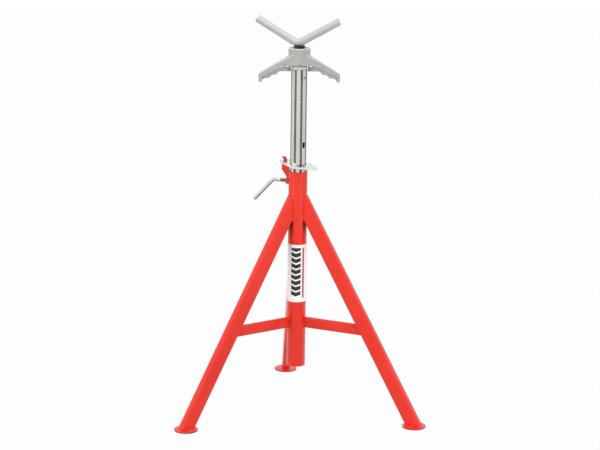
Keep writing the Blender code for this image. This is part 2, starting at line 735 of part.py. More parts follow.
def plate_outline():
    """Ring round the post, lobe round the hook and a tapered lever tab, about the column's axis."""
    tab = PLATE_TAB_AZIMUTH
    lobe = (-PLATE_LOBE_DISTANCE, 0)
    tip = Vector((PLATE_TAB_LENGTH * math.cos(tab), PLATE_TAB_LENGTH * math.sin(tab)))
    side = Vector((-math.sin(tab), math.cos(tab))) * PLATE_TAB_TIP_WIDTH / 2
    lobe_edge = math.pi - PLATE_LOBE_SPREAD
    back = arc((0, 0), PLATE_RING_RADIUS, tab + PLATE_TAB_SPREAD, lobe_edge, BEND_STEPS)
    round_lobe = arc(lobe, PLATE_LOBE_RADIUS, math.pi / 2, math.pi * 3 / 2, 2 * BEND_STEPS)
    front = arc((0, 0), PLATE_RING_RADIUS, -lobe_edge, tab - PLATE_TAB_SPREAD, BEND_STEPS)
    corners = [*back, *round_lobe, *front, tuple(tip - side), tuple(tip + side)]
    plain = [0] * (len(corners) - 2)
    return rounded_corners(corners, [*plain, PLATE_TAB_CORNER, PLATE_TAB_CORNER])


def plate_hole():
    """Round the post with clearance, with a tooth reaching into each flute."""
    hole = POST_RADIUS + PLATE_HOLE_CLEARANCE
    reach = POST_RADIUS - PLATE_TOOTH_REACH
    half_tip = PLATE_TOOTH_WIDTH / 2 / POST_RADIUS
    half_root = half_tip + PLATE_TOOTH_FLARE / 2 / POST_RADIUS
    tooth = [(hole, -half_root), (reach, -half_tip), (reach, half_tip), (hole, half_root)]
    pitch = math.tau / FLUTES
    points = []
    for flute in range(FLUTES):
        middle = FLUTE_AZIMUTH - LOCK_AZIMUTH - math.pi + flute * pitch
        for radius, turn in tooth:
            points.append((radius * math.cos(middle + turn), radius * math.sin(middle + turn)))
        points += arc((0, 0), hole, middle + half_root, middle + pitch - half_root, CORNER_STEPS)[1:-1]
    return points


def make_lock_plate():
    """The plate that bites on the post when its lever hangs, turned about the bracket's outer edge."""
    slot_length = HOOK_NECK_WIDTH + 2 * PLATE_SLOT_CLEARANCE
    slot_width = BRACKET_THICKNESS + 2 * PLATE_SLOT_CLEARANCE
    slot_centre = (HOOK_NECK_RADIUS + HOOK_NECK_WIDTH / 2) / math.cos(PLATE_TILT)
    slot_corners = rounded_rectangle(slot_length, slot_width, PLATE_SLOT_CLEARANCE)
    slot = [(x - slot_centre, y) for x, y in slot_corners]
    outlines = [plate_outline(), plate_hole(), slot]
    moved = [[(x + BRACKET_REACH, y) for x, y in outline] for outline in outlines]
    plate = prism("lock_plate", moved, PLATE_THICKNESS)
    pivot = around(BRACKET_REACH, LOCK_AZIMUTH, plate_height(BRACKET_REACH))
    placed(plate, pivot, (PLATE_ROLL, PLATE_TILT, LOCK_AZIMUTH + math.pi))
    finish(plate, BRIGHT_ZINC)


def make_clamp():
    """The nut on the column's side, the bent clamp screw in it and the pad between its tip and the post."""
    start = COLUMN_RADIUS + GAP
    bore = arc((0, 0), CLAMP_ROD_DIAMETER / 2 + GAP, 0, math.tau * (1 - 1 / SMALL_STEPS), SMALL_STEPS - 1)
    nut = prism("clamp_nut", [hexagon(CLAMP_NUT_ACROSS), bore], CLAMP_NUT_HEIGHT)
    nut_place = around(start + CLAMP_NUT_HEIGHT / 2, LOCK_AZIMUTH, CLAMP_HEIGHT)
    finish(placed(nut, nut_place, (math.pi / 2, 0, LOCK_AZIMUTH + math.pi / 2)), RED_ENAMEL)

    pad_in = POST_RADIUS + GAP
    pad = rod("clamp_pad", CLAMP_ROD_DIAMETER / 2, CLAMP_PAD_THICKNESS)
    placed(pad, around(pad_in, LOCK_AZIMUTH, CLAMP_HEIGHT), (0, math.pi / 2, LOCK_AZIMUTH))
    finish(pad, PAD_BRASS)

    tip = pad_in + CLAMP_PAD_THICKNESS + GAP
    bend_start = CLAMP_ARM_REACH - CLAMP_BEND_RADIUS * math.tan(CLAMP_LEVER_SLOPE / 2)
    bend_centre = (bend_start, -CLAMP_BEND_RADIUS)
    quarter = math.pi / 2
    bend = arc(bend_centre, CLAMP_BEND_RADIUS, quarter, quarter - CLAMP_LEVER_SLOPE, BEND_STEPS)
    end = (
        CLAMP_ARM_REACH + CLAMP_LEVER_LENGTH * math.cos(CLAMP_LEVER_SLOPE),
        -CLAMP_LEVER_LENGTH * math.sin(CLAMP_LEVER_SLOPE),
    )
    line = [(tip, 0), *bend, end]
    screw = bent_bar("clamp_screw", [(x, 0, z) for x, z in line], CLAMP_ROD_DIAMETER / 2, SMALL_STEPS)
    finish(placed(screw, (0, 0, CLAMP_HEIGHT), (0, 0, LOCK_AZIMUTH)), BRIGHT_ZINC)


make_feet()
make_legs()
make_braces()
make_column()
make_guide_rivet()
make_post()
make_screw()
make_head()
make_handle_nut()
make_bracket()
make_lock_plate()
make_clamp()
bpy.context.view_layer.update()
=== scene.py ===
"""The looks of a pipe jack stand: a welded red tripod, a fluted zinc post, and a V head on a jack screw.

Metres, +Z up, front towards -Y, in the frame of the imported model. Sections follow the stand from its feet up.
"""

import json
import random
from math import atan2, ceil, cos, pi, radians, sin, sqrt, tan, tau

import bmesh
import bpy
from mathutils import Matrix, Vector

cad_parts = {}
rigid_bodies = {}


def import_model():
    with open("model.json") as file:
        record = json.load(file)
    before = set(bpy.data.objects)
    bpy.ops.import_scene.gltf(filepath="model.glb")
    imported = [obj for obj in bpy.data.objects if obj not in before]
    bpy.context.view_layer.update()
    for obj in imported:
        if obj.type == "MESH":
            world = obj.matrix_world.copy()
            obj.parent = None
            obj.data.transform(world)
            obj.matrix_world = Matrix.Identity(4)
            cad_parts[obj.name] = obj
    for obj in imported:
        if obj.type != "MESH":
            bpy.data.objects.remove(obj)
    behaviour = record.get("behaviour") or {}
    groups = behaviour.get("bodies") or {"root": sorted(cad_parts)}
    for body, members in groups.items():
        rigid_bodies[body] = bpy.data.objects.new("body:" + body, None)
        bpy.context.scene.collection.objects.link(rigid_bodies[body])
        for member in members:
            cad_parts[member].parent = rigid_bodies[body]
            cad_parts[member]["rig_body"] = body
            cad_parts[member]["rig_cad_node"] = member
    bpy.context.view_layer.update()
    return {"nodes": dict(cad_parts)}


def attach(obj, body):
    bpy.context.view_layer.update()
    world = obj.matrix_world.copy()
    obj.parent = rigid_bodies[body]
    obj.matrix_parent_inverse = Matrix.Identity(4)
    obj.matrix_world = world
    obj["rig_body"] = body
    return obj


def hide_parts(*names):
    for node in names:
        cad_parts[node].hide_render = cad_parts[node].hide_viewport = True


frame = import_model()


# ---- Camera ----
# A long lens at the distance, height and turn that the stand's own lines give. The frame isn't shifted.
AXIS_Y = -0.08425
SENSOR_MM = 36
LENS_MM = 135.51
CAMERA_PLACE = (-1.48345, -5.44680, 1.88385)
CAMERA_TILT = 0.24142
CAMERA_PAN = 0.26709
CAMERA_ROLL = 0.01258
STAND_TURN = -0.18265


def linked(name, data):
    """A new object in the scene."""
    made = bpy.data.objects.new(name, data)
    bpy.context.scene.collection.objects.link(made)
    return made


camera_data = bpy.data.cameras.new("camera")
camera_data.sensor_width = SENSOR_MM
camera_data.lens = LENS_MM
camera = linked("camera", camera_data)
ahead = Vector((
    sin(CAMERA_PAN) * cos(CAMERA_TILT),
    cos(CAMERA_PAN) * cos(CAMERA_TILT),
    -sin(CAMERA_TILT),
))
level = Vector((cos(CAMERA_PAN), -sin(CAMERA_PAN), 0))
upright = level.cross(ahead)
right_way = cos(CAMERA_ROLL) * level + sin(CAMERA_ROLL) * upright
up_way = cos(CAMERA_ROLL) * upright - sin(CAMERA_ROLL) * level
turn = Matrix.Rotation(-STAND_TURN, 3, "Z")
view = Matrix((turn @ right_way, turn @ up_way, turn @ -ahead)).transposed().to_4x4()
view.translation = turn @ Vector(CAMERA_PLACE) + Vector((0, AXIS_Y, 0))
camera.matrix_world = view
bpy.context.scene.camera = camera
bpy.context.scene.view_settings.view_transform = "Standard"


# ---- Studio ----
# A pale floor under soft lamps: a large one overhead, one low on each side and a weak one behind. The
# camera and mirrors see plain white, and of the lamps only the overhead one shows in a mirror.
FLOOR_SIZE = 14
FLOOR_DEPTH = 0.0004
FLOOR_WHITE = 0.38
FLOOR_FADE = 0.975
WORLD_FILL = 0.50
# name, place, size, watts, and the height on the stand that it is aimed at
LAMPS = [
    ("lamp_over", (0.0, -0.9, 5.5), 3.2, 80, 0.4),
    ("lamp_left", (-3.4, -1.7, 1.1), 2.2, 84, 0.4),
    ("lamp_right", (2.5, -2.8, 0.9), 1.8, 74, 0.4),
    ("lamp_behind", (0.6, 2.8, 2.0), 1.6, 20, 0.5),
]


class Shade:
    """An output socket of a node tree. An expression on it adds Math nodes."""

    def __init__(self, tree, socket=None):
        self.tree = tree
        self.socket = socket

    def node(self, kind, settings=None, inputs=None, output=0):
        """Any other node: its settings are set first, then the values or links of its sockets."""
        made = self.tree.nodes.new("ShaderNode" + kind)
        for name, value in (settings or {}).items():
            setattr(made, name, value)
        for name, value in (inputs or {}).items():
            if isinstance(value, Shade):
                self.tree.links.new(value.socket, made.inputs[name])
            else:
                made.inputs[name].default_value = value
        return Shade(self.tree, made.outputs[output] if made.outputs else None)

    def other(self, output):
        """Another output of the same node."""
        return Shade(self.tree, self.socket.node.outputs[output])

    def maths(self, operation, *values):
        return self.node("Math", {"operation": operation}, dict(enumerate(values)))

    def vector(self, operation, *values, output="Vector"):
        """A Vector Math node on this vector and the others."""
        return self.node("VectorMath", {"operation": operation}, dict(enumerate((self, *values))), output)

    def __add__(self, other):
        return self.maths("ADD", self, other)

    def __sub__(self, other):
        return self.maths("SUBTRACT", self, other)

    def __rsub__(self, other):
        return self.maths("SUBTRACT", other, self)

    def __mul__(self, other):
        return self.maths("MULTIPLY", self, other)

    def __truediv__(self, other):
        return self.maths("DIVIDE", self, other)

    def __gt__(self, other):
        return self.maths("GREATER_THAN", self, other)

    def __lt__(self, other):
        return self.maths("LESS_THAN", self, other)

    __radd__ = __add__
    __rmul__ = __mul__


def emptied(owner):
    """The shade that a material's or world's nodes grow from, once those it came with are gone."""
    owner.use_nodes = True
    owner.node_tree.nodes.clear()
    return Shade(owner.node_tree)


def plain_view(shade):
    """1 for the camera's rays, and for those that a mirror or a glass passes on."""
    rays = shade.node("LightPath")
    seen = rays.maths("MAXIMUM", rays, rays.other("Is Glossy Ray"))
    return seen.maths("MAXIMUM", seen, rays.other("Is Transmission Ray"))


def clear_selection():
    bpy.ops.object.select_all(action="DESELECT")


floor_paint = bpy.data.materials.new("floor_paint")
shade = emptied(floor_paint)
matt = shade.node("BsdfDiffuse", inputs={"Color": (FLOOR_WHITE, FLOOR_WHITE, FLOOR_WHITE, 1)})
glow = shade.node("Emission", inputs={"Strength": 1.0})
mixed = shade.node("MixShader", inputs={0: plain_view(shade) * FLOOR_FADE, 1: matt, 2: glow})
shade.node("OutputMaterial", inputs={"Surface": mixed})

clear_selection()
bpy.ops.mesh.primitive_plane_add(size=FLOOR_SIZE, location=(0, 0, -FLOOR_DEPTH))
floor = bpy.context.object
floor.name = "floor"
floor.data.materials.append(floor_paint)

world = bpy.data.worlds.new("studio")
bpy.context.scene.world = world
shade = emptied(world)
plain = plain_view(shade)
strength = plain + (1 - plain) * WORLD_FILL
backdrop = shade.node("Background", inputs={"Color": (1, 1, 1, 1), "Strength": strength})
shade.node("OutputWorld", inputs={"Surface": backdrop})

for name, place, size, watts, aim in LAMPS:
    lamp_data = bpy.data.lights.new(name, "AREA")
    lamp_data.size = size
    lamp_data.energy = watts
    lamp = linked(name, lamp_data)
    lamp.visible_glossy = name == "lamp_over"
    lamp.location = place
    lamp.rotation_euler = (Vector((0, AXIS_Y, aim)) - Vector(place)).to_track_quat("-Z", "Y").to_euler()


# ---- Feet ----
# Three round steel pads punched from 4 mm plate, one welded under each leg. Their sheared rims are rolled over
# and darkened with painted shade, most next to the floor.
AXIS = (0, AXIS_Y, 0)
FOOT_CIRCLE_RADIUS = 0.337
FOOT_RADIUS = 0.0305
FOOT_THICKNESS = 0.004
FOOT_ROLL = 0.0011
LEG_AZIMUTHS = {"left": radians(210), "right": radians(330), "rear": radians(90)}
RED_PAINT = (0.80, 0.026, 0.010)
RED_PAINT_LOW = (0.755, 0.023, 0.008)
RED_WORN = (0.30, 0.045, 0.035)
# painted shade on the hook, above HOOK_LOW
RED_SHADED = (0.46, 0.03, 0.035)
# painted shade in the corners under the legs
RED_CROTCH_SHADE = (0.09, 0.008, 0.004)
RED_DUSTY = (0.75, 0.42, 0.38)
# painted shade on the feet's rims
RIM_SHADE_RED = (0.27, 0.022, 0.022)
HOOK_LOW = 0.6575
CROTCH_LOW = 0.466
CROTCH_TOP = 0.508
CROTCH_RADII = (0.0250, 0.0275)
RIM_RADII = (FOOT_RADIUS - 0.0016, FOOT_RADIUS - 0.0004)
CHIPS_TOP = 0.05
PAINT_EDGE = 0.004
MERGE = 0.000002


def polar(radius, angle):
    return (radius * cos(angle), radius * sin(angle))


def around(radius, azimuth, height):
    """The point at a radius from the column's axis."""
    x, y = polar(radius, azimuth)
    return Vector((x, AXIS_Y + y, height))


def picked(piece):
    """Selects one piece alone and makes it active."""
    clear_selection()
    piece.select_set(True)
    bpy.context.view_layer.objects.active = piece


def into(mode):
    bpy.ops.object.mode_set(mode=mode)


def placed(piece, place, rotation=(0, 0, 0)):
    """Turns and moves a piece that was made at the origin, and leaves its object there."""
    picked(piece)
    piece.location = place
    piece.rotation_euler = rotation
    bpy.ops.object.transform_apply(location=True, rotation=True, scale=True)
    return piece


def named(name):
    """The new primitive, given its piece's name and left active in edit mode, selected all over."""
    piece = bpy.context.object
    piece.name = piece.data.name = name
    bpy.ops.object.transform_apply(location=True, rotation=True, scale=True)
    into("EDIT")
    bpy.ops.mesh.select_all(action="SELECT")
    return piece


def closed_up(piece):
    """Merges the seam, fills open ends, turns the faces outwards and leaves edit mode."""
    bpy.ops.mesh.select_all(action="SELECT")
    bpy.ops.mesh.remove_doubles(threshold=MERGE)
    bpy.ops.mesh.fill_holes(sides=0)
    bpy.ops.mesh.select_all(action="SELECT")
    bpy.ops.mesh.normals_make_consistent(inside=False)
    into("OBJECT")
    return piece


def extruded(way):
    """Extrudes what is selected, and leaves the new end selected."""
    bpy.ops.mesh.extrude_region_move(TRANSFORM_OT_translate={"value": way})


def turned(name, rings, sides=96):
    """A round piece on the Z axis: a circle, extruded and scaled from ring to ring of (radius, height)."""
    clear_selection()
    radius, height = rings[0]
    bpy.ops.mesh.primitive_circle_add(vertices=sides, radius=radius, location=(0, 0, height))
    piece = named(name)
    for new_radius, new_height in rings[1:]:
        extruded((0, 0, new_height - height))
        share = new_radius / radius
        bpy.ops.transform.resize(value=(share, share, 1), center_override=(0, 0, new_height))
        radius, height = new_radius, new_height
    return closed_up(piece)


def applied(piece, kind, **settings):
    """Adds a modifier with these settings and applies it."""
    picked(piece)
    modifier = piece.modifiers.new(kind.title(), kind)
    for name, value in settings.items():
        setattr(modifier, name, value)
    bpy.ops.object.modifier_apply(modifier=modifier.name)
    return piece


def eased(piece, width, segments=3, angle=30):
    """Rounds every edge that is sharper than the angle."""
    return applied(
        piece, "BEVEL", width=width, segments=segments, limit_method="ANGLE", angle_limit=radians(angle),
        use_clamp_overlap=True,
    )


def coated(piece, finish, angle=35):
    """Gives the piece its material, and smooth shading up to the angle."""
    picked(piece)
    piece.data.materials.clear()
    piece.data.materials.append(finish)
    bpy.ops.object.shade_smooth_by_angle(angle=radians(angle))
    return piece


def copied(piece, name):
    """A copy of the piece, with its own mesh."""
    twin = piece.copy()
    twin.data = piece.data.copy()
    twin.name = name
    bpy.context.scene.collection.objects.link(twin)
    return twin


def patterned(name):
    """An empty material, and the Object coordinates that its patterns lie on."""
    finish = bpy.data.materials.new(name)
    return finish, emptied(finish).node("TexCoord", output="Object")


def surfaced(finish, colour, roughness, normal, **others):
    """Ends a material in one Principled BSDF."""
    shade = Shade(finish.node_tree)
    inputs = {"Base Color": colour, "Roughness": roughness, "Normal": normal, **others}
    shade.node("OutputMaterial", inputs={"Surface": shade.node("BsdfPrincipled", inputs=inputs)})
    return finish


def layered(colour, *layers):
    """A colour with others laid over it, each where its factor says: a chain of Mix nodes."""
    below = (*colour, 1)
    for factor, tone in layers:
        below = factor.node("Mix", {"data_type": "RGBA"}, {0: factor, 6: below, 7: (*tone, 1)}, 2)
    return below


def noise(place, scale, detail=2.0, roughness=0.5):
    inputs = {"Vector": place, "Scale": scale, "Detail": detail, "Roughness": roughness}
    return place.node("TexNoise", inputs=inputs)


def ramp(value, low, high, start=0.0, end=1.0):
    """The value spread from one range to another, held at the ends."""
    return value.node("MapRange", inputs={0: value, 1: low, 2: high, 3: start, 4: end})


def fall(value, low, high, start=1.0):
    """A ramp that goes down to nothing."""
    return ramp(value, low, high, start, 0.0)


def bumped(height, distance, strength, below=None):
    """A Bump node, over another one if that is given."""
    under = {} if below is None else {"Normal": below}
    return height.node("Bump", inputs={"Height": height, "Distance": distance, "Strength": strength, **under})


def split(vector):
    """The three coordinates of a vector."""
    parts = vector.node("SeparateXYZ", inputs={0: vector})
    return [parts.other(axis) for axis in "XYZ"]


def upward(place):
    """How far the surface faces up."""
    return split(place.node("NewGeometry", output="Normal"))[2]


def off_axis(place):
    """The level vector from the column's axis, and its length."""
    flat = place.vector("SUBTRACT", AXIS).vector("MULTIPLY", (1, 1, 0))
    return flat, flat.vector("LENGTH", output="Value")


def towards(flat, azimuth):
    """How nearly a level vector points to an azimuth."""
    return flat.vector("NORMALIZE").vector("DOT_PRODUCT", (*polar(1, azimuth), 0), output="Value")


def make_red_enamel():
    """Sprayed gloss enamel: orange peel, uneven colour, dust on what lies level. It is chipped low down, and
    has painted shade on the hook, in the corners under the legs and on the feet's rims."""
    finish, place = patterned("red_enamel_paint")
    height = split(place)[2]
    flat, from_axis = off_axis(place)
    slow = ramp(noise(place, 9.0, 3.0), 0.35, 0.65)
    chips = ramp(noise(place, 420.0, 4.0, 0.7), 0.70, 0.78) * ramp(height, 0.0, CHIPS_TOP, 1.0, 0.12)
    # crotch: painted shade on the column just under each leg
    crotch = 0
    # rim: painted shade on the feet's rims, darkest next to the floor
    rim = fall(height, FOOT_THICKNESS, FOOT_THICKNESS + 0.0005)
    for azimuth in LEG_AZIMUTHS.values():
        crotch = ramp(towards(flat, azimuth), 0.80, 0.90) + crotch
        middle = (*polar(FOOT_CIRCLE_RADIUS, azimuth), 0)
        rim = rim * ramp(flat.vector("DISTANCE", middle, output="Value"), *RIM_RADII)
    crotch = crotch * ramp(height, CROTCH_LOW, CROTCH_TOP - PAINT_EDGE)
    crotch = crotch * fall(height, CROTCH_TOP, CROTCH_TOP + PAINT_EDGE) * fall(from_axis, *CROTCH_RADII)
    dust = ramp(upward(place), 0.6, 1.0) * ramp(noise(place, 60.0, 4.0), 0.35, 0.75)
    # Painted shade darkens the hook, the corners under the legs and the feet's rims.
    colour = layered(
        RED_PAINT, (slow, RED_PAINT_LOW), (chips * 0.7, RED_WORN),
        (ramp(height, HOOK_LOW, HOOK_LOW + PAINT_EDGE), RED_SHADED), (crotch * 0.9, RED_CROTCH_SHADE),
        (rim * ramp(height, 0.0010, 0.0032, 0.9, 0.5), RIM_SHADE_RED), (dust * 0.22, RED_DUSTY),
    )
    roughness = 0.20 + slow * 0.06 + dust * 0.25 + chips * 0.3
    peel = bumped(noise(place, 520.0, 1.5), 0.00035, 0.30)
    runs = bumped(noise(place, 70.0, 2.0), 0.0012, 0.22, peel)
    return surfaced(finish, colour, roughness, runs, **{"IOR": 1.5, "Specular IOR Level": 0.45})


red_enamel = make_red_enamel()
foot = turned("foot_left", [(FOOT_RADIUS, 0), (FOOT_RADIUS, FOOT_THICKNESS)])
eased(foot, FOOT_ROLL, 4)
coated(foot, red_enamel)
for side, azimuth in LEG_AZIMUTHS.items():
    pad = copied(foot, "pad_" + side)
    placed(pad, around(FOOT_CIRCLE_RADIUS, azimuth, 0), (0, 0, azimuth))
    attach(pad, "base")
    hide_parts("foot_" + side)
bpy.data.objects.remove(foot)


# ---- Column ----
# The outer tube that everything on the tripod is welded to: drawn steel, square cut and deburred, drilled for
# the clamp screw and for the guide rivet, and painted with the rest.
COLUMN_RADIUS = 0.02415
COLUMN_BORE = 0.02155
COLUMN_BOTTOM = 0.1196
COLUMN_TOP = 0.6365
COLUMN_DEBURR = 0.0005
LOCK_AZIMUTH = radians(155)
CLAMP_HEIGHT = 0.6090
CLAMP_HOLE_RADIUS = 0.00495
GUIDE_AZIMUTH = radians(-120.5)
GUIDE_HEIGHT = 0.1295
GUIDE_HOLE_RADIUS = 0.0024
DRILL_LENGTH = 0.06
ROUND_SIDES = 128


def sleeve(outer, inner, bottom, top):
    """The rings of a plain tube or washer."""
    return [(outer, bottom), (outer, top), (inner, top), (inner, bottom), (outer, bottom)]


def on_axis(piece, azimuth=0, height=0):
    """Puts a piece on the column's axis, turned to an azimuth."""
    return placed(piece, (0, AXIS_Y, height), (0, 0, azimuth))


def pointed(piece, azimuth, height):
    """Lays a piece that was made upright along a level line out of the column's axis."""
    return placed(piece, (0, AXIS_Y, height), (0, pi / 2, azimuth))


def cut(piece, tool, operation="DIFFERENCE"):
    """A Boolean with another piece, which is used up."""
    applied(piece, "BOOLEAN", operation=operation, solver="EXACT", object=tool)
    bpy.data.objects.remove(tool)
    return piece


def drilled(piece, radius, azimuth, height):
    """A hole from the column's axis outwards."""
    return cut(piece, pointed(turned("drill", [(radius, 0), (radius, DRILL_LENGTH)], 32), azimuth, height))


column = turned("column", sleeve(COLUMN_RADIUS, COLUMN_BORE, COLUMN_BOTTOM, COLUMN_TOP), ROUND_SIDES)
eased(column, COLUMN_DEBURR)
on_axis(column)
drilled(column, CLAMP_HOLE_RADIUS, LOCK_AZIMUTH, CLAMP_HEIGHT)
drilled(column, GUIDE_HOLE_RADIUS, GUIDE_AZIMUTH, GUIDE_HEIGHT)
coated(column, red_enamel)
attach(column, "base")
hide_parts("column_tube")


# ---- Legs ----
# Three lengths of rectangular tube with rounded corners, coped to the column, cut level at the top and at the
# foot, and welded on.
LEG_DEPTH = 0.0361
LEG_WIDTH = 0.020
LEG_CORNER = 0.004
LEG_WALL = 0.002
LEG_SLOPE = radians(59.75)
LEG_TOP = 0.573
LEG_FOOT = FOOT_THICKNESS + 0.0003
LEG_OVERRUN = 0.012
COPE_RADIUS = COLUMN_RADIUS + 0.0003


def leg_line(height):
    """The radius of the leg's centre line at a height."""
    return FOOT_CIRCLE_RADIUS - (height - FOOT_THICKNESS) / tan(LEG_SLOPE)


def select_only(piece, kind, test):
    """Selects the points, edges or faces that pass the test, and nothing else."""
    bpy.ops.mesh.select_mode(type={"verts": "VERT", "edges": "EDGE", "faces": "FACE"}[kind])
    bpy.ops.mesh.select_all(action="DESELECT")
    shape = bmesh.from_edit_mesh(piece.data)
    for item in getattr(shape, kind):
        item.select_set(test(item))
    shape.select_flush_mode()
    bmesh.update_edit_mesh(piece.data)


def sliced(point, normal):
    """Cuts off what lies on the normal's side of a plane and closes the cut."""
    bpy.ops.mesh.select_all(action="SELECT")
    bpy.ops.mesh.bisect(plane_co=point, plane_no=normal, use_fill=True, clear_outer=True)


def box(name, size, middle=(0, 0, 0)):
    """A box about its middle, left in edit mode."""
    clear_selection()
    bpy.ops.mesh.primitive_cube_add(size=1, location=middle, scale=size)
    return named(name)


def tube_length(name, depth, width, corner, length):
    """A box as long as the tube stock, its four long edges rounded."""
    piece = box(name, (depth, width, length))
    select_only(piece, "edges", lambda edge: abs(edge.verts[0].co.z - edge.verts[1].co.z) > length / 2)
    bpy.ops.mesh.bevel(offset=corner, segments=6, affect="EDGES")
    into("OBJECT")
    return piece


leg_rise = LEG_TOP - LEG_FOOT
stock = leg_rise / sin(LEG_SLOPE) + 4 * LEG_OVERRUN
leg_middle = LEG_FOOT + leg_rise / 2
leg_place = (leg_line(leg_middle), 0, leg_middle)
leg_lean = (0, LEG_SLOPE - pi / 2, 0)
leg = placed(tube_length("leg", LEG_DEPTH, LEG_WIDTH, LEG_CORNER, stock), leg_place, leg_lean)
inner_size = (LEG_DEPTH - 2 * LEG_WALL, LEG_WIDTH - 2 * LEG_WALL, LEG_CORNER - LEG_WALL)
cut(leg, placed(tube_length("hollow", *inner_size, 2 * stock), leg_place, leg_lean))
cut(leg, turned("cope", [(COPE_RADIUS, COLUMN_BOTTOM), (COPE_RADIUS, COLUMN_TOP)], ROUND_SIDES))
into("EDIT")
sliced((0, 0, LEG_TOP), (0, 0, 1))
sliced((0, 0, LEG_FOOT), (0, 0, -1))
sliced((0, 0, 0), (-1, 0, 0))
into("OBJECT")
coated(leg, red_enamel, 30)
for side, azimuth in LEG_AZIMUTHS.items():
    tube = on_axis(copied(leg, "tube_" + side), azimuth)
    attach(tube, "base")
    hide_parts("leg_" + side)
bpy.data.objects.remove(leg)


# ---- Braces ----
# A flat bar on edge from the column to the inside of each leg, sheared from strip, its outer end cut to the
# leg's slope and both ends welded.
BRACE_TOP = 0.2516
BRACE_BOTTOM = 0.2236
BRACE_THICKNESS = 0.006
BRACE_EASE = 0.0007
GAP = 0.0003

inner_face = (LEG_DEPTH / 2 + GAP) / sin(LEG_SLOPE)
brace_start = COLUMN_RADIUS + GAP
brace_end = leg_line(BRACE_BOTTOM) - inner_face
brace = box(
    "brace", (brace_end - brace_start, BRACE_THICKNESS, BRACE_TOP - BRACE_BOTTOM),
    ((brace_start + brace_end) / 2, 0, (BRACE_TOP + BRACE_BOTTOM) / 2),
)
top_end = leg_line(BRACE_TOP) - inner_face
select_only(brace, "verts", lambda vert: vert.co.x > brace_start + GAP and vert.co.z > BRACE_TOP - GAP)
bpy.ops.transform.translate(value=(top_end - brace_end, 0, 0))
into("OBJECT")
eased(brace, BRACE_EASE)
coated(brace, red_enamel)
for side, azimuth in LEG_AZIMUTHS.items():
    bar = on_axis(copied(brace, "bar_" + side), azimuth)
    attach(bar, "base")
    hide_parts("brace_" + side)
bpy.data.objects.remove(brace)


# ---- Hook bracket ----
# A piece of 7 mm plate on edge: its foot is welded down the column, its top carries the lock plate's outer
# edge, and the hook that stands on it passes through the plate's slot and keeps the plate from lifting off.
BRACKET_THICKNESS = 0.007
BRACKET_REACH = 0.0437
BRACKET_TOE = (0.02445, 0.6182)
BRACKET_TOE_END = (0.02925, 0.6182)
BRACKET_HEEL_RISE = 0.0015
BRACKET_EASE = 0.0006
HOOK_TOP = 0.6713
NECK_RADIUS = 0.0317
NECK_WIDTH = 0.0066
CROWN_RADIUS = 0.0077
THROAT_RADIUS = 0.0066
PLATE_THICKNESS = 0.0035
PLATE_RISE = 0.0170
PLATE_TILT = radians(6.1)
PLATE_ROLL = radians(7.9)


def arc(centre, radius, start, end, steps):
    """Points on an arc, both ends included."""
    angles = [start + (end - start) * step / steps for step in range(steps + 1)]
    return [(centre[0] + radius * cos(a), centre[1] + radius * sin(a)) for a in angles]


def outlined(name, points, fill="NOTHING"):
    """A ring whose points are put where the outline says, left in edit mode and selected all over."""
    clear_selection()
    bpy.ops.mesh.primitive_circle_add(vertices=len(points), radius=1, fill_type=fill)
    piece = bpy.context.object
    piece.name = piece.data.name = name
    for vertex, place in zip(piece.data.vertices, points):
        vertex.co = place
    into("EDIT")
    bpy.ops.mesh.select_all(action="SELECT")
    return piece


def flame_cut(name, outline, thickness):
    """A flat piece, half its thickness each side of its own XY plane."""
    piece = outlined(name, [(x, y, -thickness / 2) for x, y in outline], "NGON")
    extruded((0, 0, thickness))
    return closed_up(piece)


def plate_height(radius):
    """The height of the lock plate's middle on the hook's side, at a distance from the axis."""
    return COLUMN_TOP + PLATE_RISE + radius * tan(PLATE_TILT)


def seat_height(radius):
    """The bracket's top, just under the plate's low edge."""
    half = PLATE_THICKNESS / 2 / cos(PLATE_ROLL) / cos(PLATE_TILT)
    return plate_height(radius) - half - BRACKET_THICKNESS / 2 * tan(PLATE_ROLL) - GAP


neck_out = NECK_RADIUS + NECK_WIDTH
crown = (NECK_RADIUS + CROWN_RADIUS, HOOK_TOP - CROWN_RADIUS)
overhang = neck_out + THROAT_RADIUS - crown[0]
point_rise = sqrt(CROWN_RADIUS**2 - overhang**2)
throat = (neck_out + THROAT_RADIUS, crown[1] + point_rise - THROAT_RADIUS)
point_angle = atan2(point_rise, overhang)
bracket = flame_cut("bracket", [
    BRACKET_TOE,
    BRACKET_TOE_END,
    (BRACKET_REACH, COLUMN_TOP + BRACKET_HEEL_RISE),
    (BRACKET_REACH, seat_height(BRACKET_REACH)),
    (neck_out, seat_height(neck_out)),
    *arc(throat, THROAT_RADIUS, pi, pi / 2, 20)[:-1],
    *arc(crown, CROWN_RADIUS, point_angle, pi, 24),
    (NECK_RADIUS, seat_height(NECK_RADIUS)),
    (BRACKET_TOE[0], seat_height(BRACKET_TOE[0])),
], BRACKET_THICKNESS)
eased(bracket, BRACKET_EASE, 3, 50)
placed(bracket, AXIS, (pi / 2, 0, LOCK_AZIMUTH))
coated(bracket, red_enamel)
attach(bracket, "base")
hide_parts("hook_bracket")


# ---- Clamp nut ----
# A plain hexagon nut with chamfered corners and a countersunk thread, welded over the hole in the column's
# side and painted with it.
NUT_FLATS = 0.016
NUT_HEIGHT = 0.0070
NUT_BORE = 0.00495
NUT_CHAMFER = 0.0010
NUT_EASE = 0.0003

